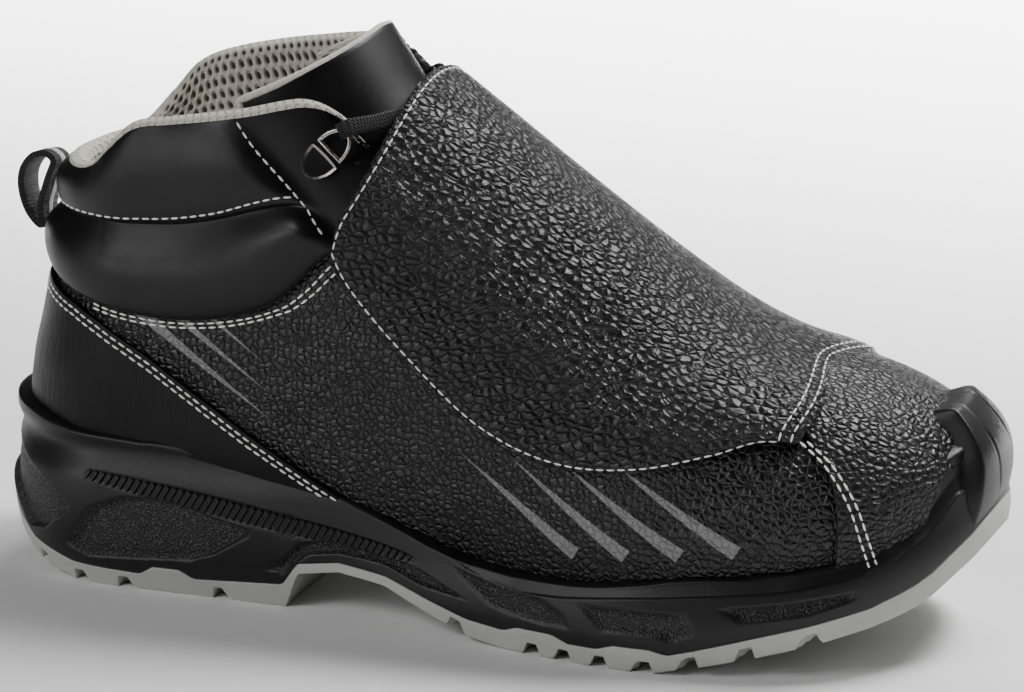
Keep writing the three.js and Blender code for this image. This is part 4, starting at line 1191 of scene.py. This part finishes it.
def make_cuff():
    def shares(s, t):
        around = (s - 0.5) * 2
        u = around * 0.3
        for _ in range(4):
            foot, seam, rim = FOOT_AT(u), SEAM_AT(u), RIM_AT(u)
            h = np.where(t < 0.5, lerp(foot, seam, 2 * t), lerp(seam, rim, 2 * t - 1))
            u = around * cuff_front_turn(h)
        return u, h, foot, rim

    def relief(s, t):
        u, h, foot, rim = shares(s, t)
        return CLEARANCE + cuff_swell(u, h, foot, SEAM_AT(u), rim)

    sheet = Sheet(lambda s, t: last_base(*shares(s, t)[:2]), relief)
    thing = shell("padded_cuff", sheet, (260, 70), OVERLAY, THIN_EASE, CUFF_LEATHER,
                  "smooth_leather", "collar_cuff")
    return sheet


def make_lining():
    """The mesh: folded over the collar's rim and down the inside."""
    def place(s, t):
        u = (s - 0.5) * 2 * FOLD["turn"]
        rim = RIM_AT(u)
        heel = np.exp(-((u / 0.05) ** 2))
        swing = share_of(t, 0, FOLD["end"])
        rise = 0.012 + 0.032 * np.exp(-((u / 0.085) ** 2))
        outer_h, inner_h = rim - 0.003 - 0.035 * heel, rim - FOLD["drop"]
        h_fold = lerp(outer_h, inner_h, swing) + rise * np.sin(swing * np.pi)
        outer_off = CLEARANCE + OVERLAY + 0.5 * MM + 1.2 * MM * heel
        off_fold = lerp(outer_off, LINING_FACE, smoothstep(swing, 0.0, 1.0))
        inside = share_of(t, FOLD["end"], 1)
        h = np.where(t <= FOLD["end"], h_fold, lerp(inner_h, 0.1, inside))
        off = np.where(t <= FOLD["end"], off_fold, LINING_FACE + 1.0 * MM * smoothstep(inside, 0.0, 0.3))
        return last_point(u, np.clip(h, 0, 1), off)

    thing = shell("collar_mesh_lining", Sheet(place), (260, 94), LINING_WALL, 0.0, LINING, "insole_cloth")
    points = spots(thing)
    plain = smoothstep(-points[:, 0], -0.12 * SOLE_LENGTH, -0.09 * SOLE_LENGTH)
    mark(thing, "bare", plain * smoothstep(points[:, 2], 0.7 * COLLAR_HEIGHT, 0.78 * COLLAR_HEIGHT))


def make_tongue():
    """The padded half tube inside the collar, with its mesh back and its edge piping."""
    def shares(s, t):
        spread = lerp(0.075, 0.225, smoothstep(t, 0.1, 0.85))
        crown = np.clip(1 - np.abs(s - 0.5) ** 1.6 * 3, 0, 1)
        return 0.5 + (s - 0.5) * 2 * spread, lerp(0.56, lerp(0.945, 0.992, crown), t)

    def outer(s, t):
        return last_point(*shares(s, t), INNER_FACE)

    def inner(s, t):
        soft = 1 - 0.5 * np.abs(2 * s - 1) ** 4 - 0.3 * smoothstep(t, 0.9, 1)
        return last_point(*shares(s, t), INNER_FACE - (TONGUE_WALL - 1.2 * MM) * soft)

    front = shell("tongue_leather", Sheet(outer), (90, 90), 1.6 * MM, THIN_EASE, CUFF_LEATHER,
                  "smooth_leather", "tongue")
    shell("tongue_mesh_back", Sheet(inner), (90, 90), 1.0 * MM, 0.0, LINING, "insole_cloth")

    edge, foot = np.linspace(0, 1, 60), 0.35
    s = np.concatenate([np.zeros(59), edge[:-1], np.ones(60)])
    t = np.concatenate([lerp(foot, 1.0, edge[:-1]), np.ones(59), lerp(1.0, foot, edge)])
    tube("tongue_piping", (outer(s, t) + inner(s, t)) / 2, 1.15 * MM, PIPING, "insole_cloth")


def guard_place(s, t):
    """The guard's outer face: s from the outer to the inner side, t from the shin to the toe."""
    near_side = 1 - np.clip(np.minimum(s, 1 - s) / GUARD_CORNER[0], 0, 1)
    t = lerp(GUARD_CORNER[1] * (1 - np.sqrt(1 - near_side**2 * 0.999)), 1, t)
    across = (s - 0.5) * 2
    angle = np.abs(across) * np.pi / 2
    drop = 1 - np.cos(angle)
    crown_x, edge_x = along(GUARD, "crown_x", t), along(GUARD, "edge_x", t)
    bow = GUARD_BOW * t**8 * np.sin(2 * angle) ** 2
    x = lerp(crown_x, edge_x, drop ** lerp(1.6, 1.0, t)) * SOLE_LENGTH + bow
    z = lerp(along(GUARD, "crown_z", t), along(GUARD, "edge_z", t), drop) * COLLAR_HEIGHT
    y = np.sign(across) * np.sin(angle) ** lerp(0.94, 1.3, t**6) * along(GUARD, "half", t) * HALF_WIDTH
    lean = bend(crown_x * SOLE_LENGTH) * 0.6 + 1.2 * MM
    return np.stack([x, y + lean, z], -1)


def make_guard():
    def relief(s, t):
        edge = np.minimum(np.minimum(s, 1 - s) * GUARD_GIRTH, np.minimum(t, 1.2 - t) * GUARD_LENGTH)
        roll = 1.1 * MM * (1 - end_round(edge, 1.2 * MM))
        seam = 0.4 * MM * np.exp(-(((edge - ROWS["guard"]) / (0.7 * MM)) ** 2))
        tuck = 1.2 * MM * smoothstep(t, 0.985, 1.0)
        return -roll - seam - tuck

    sheet = Sheet(guard_place, relief, flip=True)
    shell("guard_flap", sheet, (200, 140), GUARD_WALL, CUT_EASE, GUARD_LEATHER, "upper_leather",
          "metatarsal_guard")
    return sheet


# Trim

def tube(name, points, radius, surface, slot, closed=False, facets=2):
    """A round cord along points."""
    line = bpy.data.curves.new(name, "CURVE")
    line.dimensions = "3D"
    line.bevel_depth = radius
    line.bevel_resolution = facets
    line.use_fill_caps = True
    spline = line.splines.new("POLY")
    spline.points.add(len(points) - 1)
    spline.use_cyclic_u = closed
    for spot, p in zip(spline.points, points + ORIGIN):
        spot.co = (*p, 1)
    holder = new_object(name + "_line", line)
    bpy.context.view_layer.update()
    mesh = bpy.data.meshes.new_from_object(holder)
    bpy.data.objects.remove(holder)
    bm = bmesh.new()
    bm.from_mesh(mesh)
    bpy.data.meshes.remove(mesh)
    bmesh.ops.remove_doubles(bm, verts=bm.verts[:], dist=0.001 * MM)
    bmesh.ops.recalc_face_normals(bm, faces=bm.faces[:])
    piece(name, bm, surface, slot)


def stitches(name, sheet, s, t, out=0.0):
    """A row of stitches along a line of a sheet given by its s and t."""
    points, normals = sheet.at(s, t, out)
    run = path_lengths(points)
    count = max(2, int(run[-1] / STITCH["pitch"]))

    def spot(values, where):
        return Vector([np.interp(where, run, values[:, k]) for k in range(3)])

    bm = bmesh.new()
    for i in range(count):
        middle = (i + 0.5) * run[-1] / count
        ahead = (spot(points, middle + 0.5 * MM) - spot(points, middle - 0.5 * MM)).normalized()
        side = spot(normals, middle).cross(ahead).normalized()
        turned = Matrix((side, ahead.cross(side), ahead)).transposed().to_4x4()
        size = Matrix.Diagonal((STITCH["width"] / 2, STITCH["height"], STITCH["length"] / 2, 1))
        where = Matrix.Translation(spot(points, middle) + Vector(ORIGIN))
        bmesh.ops.create_uvsphere(bm, u_segments=7, v_segments=6, radius=1, matrix=where @ turned @ size)
    piece(name, bm, THREAD, "lace_cord")


def below_top(sheet, s, distance):
    """The t that lies a distance under a sheet's top edge."""
    step = 0.03
    gap = np.linalg.norm(sheet.at(s, 1 - step)[0] - sheet.at(s, 1.0)[0], axis=-1)
    return 1 - distance / np.maximum(gap / step, 1e-4)


def cap_turn(h, back):
    """The outer side's turn at which the cap's rear seam, set back into the cap, crosses ring h."""
    def past(turn):
        p = last_base(turn, h)
        return p[..., 0] >= cap_line(p) + back

    return bisect(h.shape, 0.3, 0.5, past, 24)


def cuff_spot(u, h):
    """The place on the cuff's sheet of a turn, signed from the heel, and a share."""
    foot, seam, rim = FOOT_AT(u), SEAM_AT(u), RIM_AT(u)
    t = np.where(h < seam, (h - foot) / (seam - foot) / 2, 0.5 + (h - seam) / (rim - seam) / 2)
    return 0.5 + u / cuff_front_turn(h) / 2, t


def guard_loop(distance):
    """A line inside the guard's edge: up its outer side, over the top and down its inner side."""
    across, deep = distance / GUARD_GIRTH, distance / GUARD_LENGTH
    down = np.linspace(deep, 1 - deep * 1.6, 200)
    s = np.concatenate([np.full(200, across), np.linspace(across, 1 - across, 240), np.full(200, 1 - across)])
    return s, np.concatenate([down[::-1], np.full(240, deep), down])


def sew_upper(counter, cuff, guard):
    """The seams: cap, counter, quarter, collar, facing and guard."""
    last = Sheet(last_base)
    steps = np.linspace(0, 1, 260)
    cap_h = lerp(0.03, CAP_KINK, steps)
    for row, distance in enumerate(ROWS["cap"], 1):
        turn = cap_turn(cap_h, distance)
        for key, u in (("outer", turn), ("inner", 1 - turn)):
            stitches(f"cap_seam_{key}_{row}", last, u, cap_h, OVERLAY_FACE + OVERLAY)
    for row, distance in enumerate(ROWS["counter"], 1):
        stitches(f"counter_seam_{row}", counter, steps, below_top(counter, steps, distance))
    for key, side in SIDES:
        for row, distance in enumerate(ROWS["quarter"], 1):
            u = lerp(0.1, 0.272, steps)
            u = u if side > 0 else 1 - u
            stitches(f"quarter_seam_{key}_{row}", last, u, FOOT_AT(u) - distance / COLLAR_HEIGHT, 0.2 * MM)
        u = lerp(0.03, 0.28, steps) * side
        stitches(f"collar_seam_{key}", cuff, *cuff_spot(u, SEAM_AT(u) + 0.019))
        u = along(FACING_SEAM, "turn", steps) * side
        stitches(f"facing_seam_{key}", cuff, *cuff_spot(u, lerp(0.925, 0.7, steps)))
    stitches("guard_seam", guard, *guard_loop(ROWS["guard"]))
    for row, distance in enumerate(ROWS["guard_front"], 1):
        t = np.full(260, 1 - distance / GUARD_LENGTH)
        stitches(f"guard_front_seam_{row}", guard, lerp(0.014, 0.986, steps), t)


def smooth_path(points):
    """A smooth line through points, taken by their numbers."""
    keys = np.arange(len(points), dtype=float)
    return lambda at: np.stack([curve(at, keys, column) for column in points.T], -1)


def make_pull_loop():
    side = np.array(LOOP_SIDE) * (SOLE_LENGTH, COLLAR_HEIGHT)
    line = smooth_path(np.vstack([side[-2:], side, side[:3]]))

    def middle(v):
        return line((v % 1) * len(side) + 2)

    def place(s, t):
        spot, ahead = middle(s), unit(middle(s + 0.003) - middle(s - 0.003))
        y = (t - 0.5) * LOOP_WIDTH * 0.9
        return np.stack([spot[..., 0] - ahead[..., 1] * LOOP_THICKNESS / 2 - LOOP_TWIST[0] * y, y,
                         spot[..., 1] + ahead[..., 0] * LOOP_THICKNESS / 2 - LOOP_TWIST[1] * y], -1)

    def stripe(s, t):
        return place(lerp(0.02, 0.62, s), lerp(0.36, 0.64, t))

    raised = Sheet(stripe, lambda s, t: 0.12 * MM, flip=True)
    shell("loop_stripe", raised, (70, 6), 0.3 * MM, 0.0, REFLECTIVE, "webbing")
    band = Sheet(place, around=True, flip=True)
    shell("heel_pull_loop", band, (120, 16), LOOP_THICKNESS, THIN_EASE, TAPE, "webbing", "pull_loop")


def make_lace():
    """The flat braid from ring to ring over the tongue."""
    half = np.array(LACE_ROUTE) * (SOLE_LENGTH, HALF_WIDTH, COLLAR_HEIGHT)
    route = np.vstack([half * (1, -1, 1), half[::-1]])
    line = smooth_path(route)

    def middle(v):
        return line(np.clip(v, 0, 1) * (len(route) - 1))

    def place(s, t):
        ahead = unit(middle(s + 0.004) - middle(s - 0.004))
        wide = np.broadcast_to(np.array([-0.35, 0, 1.0]), ahead.shape)
        wide = unit(wide - ahead * (wide * ahead).sum(-1, keepdims=True))
        thin = np.cross(ahead, wide)
        angle = t * 2 * np.pi
        flat = np.sign(np.sin(angle)) * np.abs(np.sin(angle)) ** 0.6
        across = wide * (np.cos(angle) * LACE_WIDTH / 2)[..., None]
        return middle(s) + across + thin * (flat * LACE_THICKNESS / 2)[..., None]

    bm = sheet_mesh(Sheet(place), 160, 20, closed=True)
    bmesh.ops.holes_fill(bm, edges=[e for e in bm.edges if e.is_boundary], sides=0)
    bmesh.ops.recalc_face_normals(bm, faces=bm.faces[:])
    piece("lace_braid", bm, LACE, "lace_cord", "lace_bar")


def ring_frame(side):
    """A frame on the facing: x along the ring's pull, z out of the leather."""
    turn = RING_PLACE["turn"] if side > 0 else 1 - RING_PLACE["turn"]
    share = RING_PLACE["share"]
    out = last_normal(turn, share)
    up = unit(last_base(turn, share + 0.02) - last_base(turn, share - 0.02))
    ahead = np.cross(up, out)
    ahead = ahead * np.sign(ahead[0])
    pull = ahead * 0.98 + up * 0.12
    pull = unit(pull - out * (pull @ out))
    at = last_base(turn, share) + out * (CLEARANCE + OVERLAY + 0.5 * MM)
    turned = Matrix((pull, np.cross(out, pull), out)).transposed().to_4x4()
    return Matrix.Translation(Vector(at + ORIGIN)) @ turned


def half_oval(length, width, flat, shift=0.0, height=0.0):
    """A flat oval as a bmesh: length long behind, cut off at flat in front."""
    bm = bmesh.new()
    for v in bmesh.ops.create_circle(bm, cap_ends=True, radius=1, segments=40)["verts"]:
        v.co = (v.co.x * (length if v.co.x < 0 else flat) + shift, v.co.y * width, height)
    return bm


def make_ring(key, side):
    """A lace ring: a plate with its inlay, and the bow that holds the lace."""
    name, where = f"ring_{key}", ring_frame(side)
    bm = half_oval(RING_LENGTH * 0.98, RING_WIDTH / 2, 0.6 * MM)
    plate = bmesh.ops.extrude_face_region(bm, geom=bm.faces[:])
    lifted = [g for g in plate["geom"] if isinstance(g, bmesh.types.BMVert)]
    bmesh.ops.translate(bm, verts=lifted, vec=(0, 0, RING_PLATE))
    bmesh.ops.recalc_face_normals(bm, faces=bm.faces[:])
    top = [f for f in bm.faces if f.normal.z > 0.9]
    bmesh.ops.inset_region(bm, faces=top, thickness=0.9 * MM, depth=0)
    bmesh.ops.translate(bm, verts=list({v for f in top for v in f.verts}), vec=(0, 0, -0.45 * MM))
    bmesh.ops.bevel(bm, geom=[e for e in bm.edges if e.calc_face_angle(0) > 0.6], offset=0.22 * MM,
                    segments=2, profile=0.5, affect="EDGES", material=-1, clamp_overlap=True)
    bmesh.ops.transform(bm, matrix=where, verts=bm.verts[:])
    piece(name + "_plate", bm, METAL, "ring_metal", f"lace_ring_{key}")
    bm = half_oval(RING_LENGTH * 0.84, RING_WIDTH * 0.41, 0.1 * MM, -0.4 * MM, 0.95 * MM)
    bmesh.ops.transform(bm, matrix=where, verts=bm.verts[:])
    thicken(piece(name + "_inlay", bm, CUFF_LEATHER, "smooth_leather", smooth=False), 0.3 * MM)
    angle = np.linspace(-np.pi / 2, np.pi / 2, 28)
    half = RING_WIDTH / 2 - RING_WIRE
    bow = np.stack([2.6 * MM + np.cos(angle) * (RING_LENGTH - 1.2 * MM), np.sin(angle) * half,
                    1.5 * MM + np.cos(angle) * 0.8 * MM], -1)
    bar = np.array([[2.2 * MM, half * way, 1.6 * MM] for way in (1, -1)])
    world = np.array([where @ Vector(p) for p in np.vstack([bow, bar])]) - ORIGIN
    tube(name + "_bow", world, RING_WIRE, METAL, "ring_metal", closed=True, facets=4)


make_outsole()
make_midsole()
make_bumper()
make_ribs()
make_insole()
make_upper()
make_toe_cap()
counter_sheet = make_counter()
cuff_sheet = make_cuff()
make_lining()
make_tongue()
guard_sheet = make_guard()
make_pull_loop()
make_lace()
for key, side in SIDES:
    make_ring(key, side)
sew_upper(counter_sheet, cuff_sheet, guard_sheet)


# The floor, the lights and the camera

def lay_floor():
    bm = bmesh.new()
    bmesh.ops.create_grid(bm, x_segments=1, y_segments=1, size=4)
    mesh = bpy.data.meshes.new("floor")
    bm.to_mesh(mesh)
    bm.free()
    mesh.materials.append(material("pale floor", (0.86, 0.86, 0.86), 0.7, Specular_IOR_Level=0.2)[0])
    new_object("floor", mesh)


def stand(name, data, spot, towards):
    """A lamp or a camera at a spot, looking some way."""
    holder = new_object(name, data)
    holder.location = spot
    holder.rotation_mode = "QUATERNION"
    holder.rotation_quaternion = towards.to_track_quat("-Z", "Y")
    return holder


def soft_light(name, spot, aim, size, watts, spread=180):
    lamp = bpy.data.lights.new(name, "AREA")
    lamp.shape = "RECTANGLE"
    lamp.size, lamp.size_y = size
    lamp.energy = watts
    lamp.spread = math.radians(spread)
    stand(name, lamp, spot, Vector(aim) - Vector(spot))


def make_camera():
    turn, rise = math.radians(CAMERA["turn"]), math.radians(CAMERA["rise"])
    back = Vector((math.sin(turn) * math.cos(rise), -math.cos(turn) * math.cos(rise), math.sin(rise)))
    lens = bpy.data.cameras.new("camera")
    lens.lens = CAMERA["lens"]
    lens.sensor_width = 36
    lens.sensor_fit = "HORIZONTAL"
    lens.clip_start, lens.clip_end = 0.05, 20
    spot = Vector(CAMERA["target"]) + back * CAMERA["distance"]
    bpy.context.scene.camera = stand("camera", lens, spot, -back)


lay_floor()
soft_light("key", (0.56, 0.4, 1.08), (0.04, 0, 0.08), (0.44, 0.3), 20)
soft_light("back", (0.1, 1.05, 1.0), (0.05, 0, 0.08), (1.1, 0.3), 13)
soft_light("fill", (-0.65, -1.0, 0.95), (-0.05, 0, 0.06), (0.6, 0.5), 7.5)
soft_light("low heel side", (-0.95, -1.2, 0.3), (-0.05, 0, 0.02), (0.6, 0.3), 4.5)
soft_light("toe side", (1.15, 0.35, 0.2), (0.1, 0, 0.05), (0.2, 0.3), 0.5)
soft_light("ground behind", (0.0, 1.15, 1.5), (0.0, 1.15, 0.0), (2.4, 1.2), 70, spread=40)
world = bpy.data.worlds.new("studio")
bpy.context.scene.world = world
world.use_nodes = True
sky = world.node_tree.nodes["Background"].inputs
sky["Color"].default_value, sky["Strength"].default_value = (1, 1, 1, 1), 0.05
make_camera()
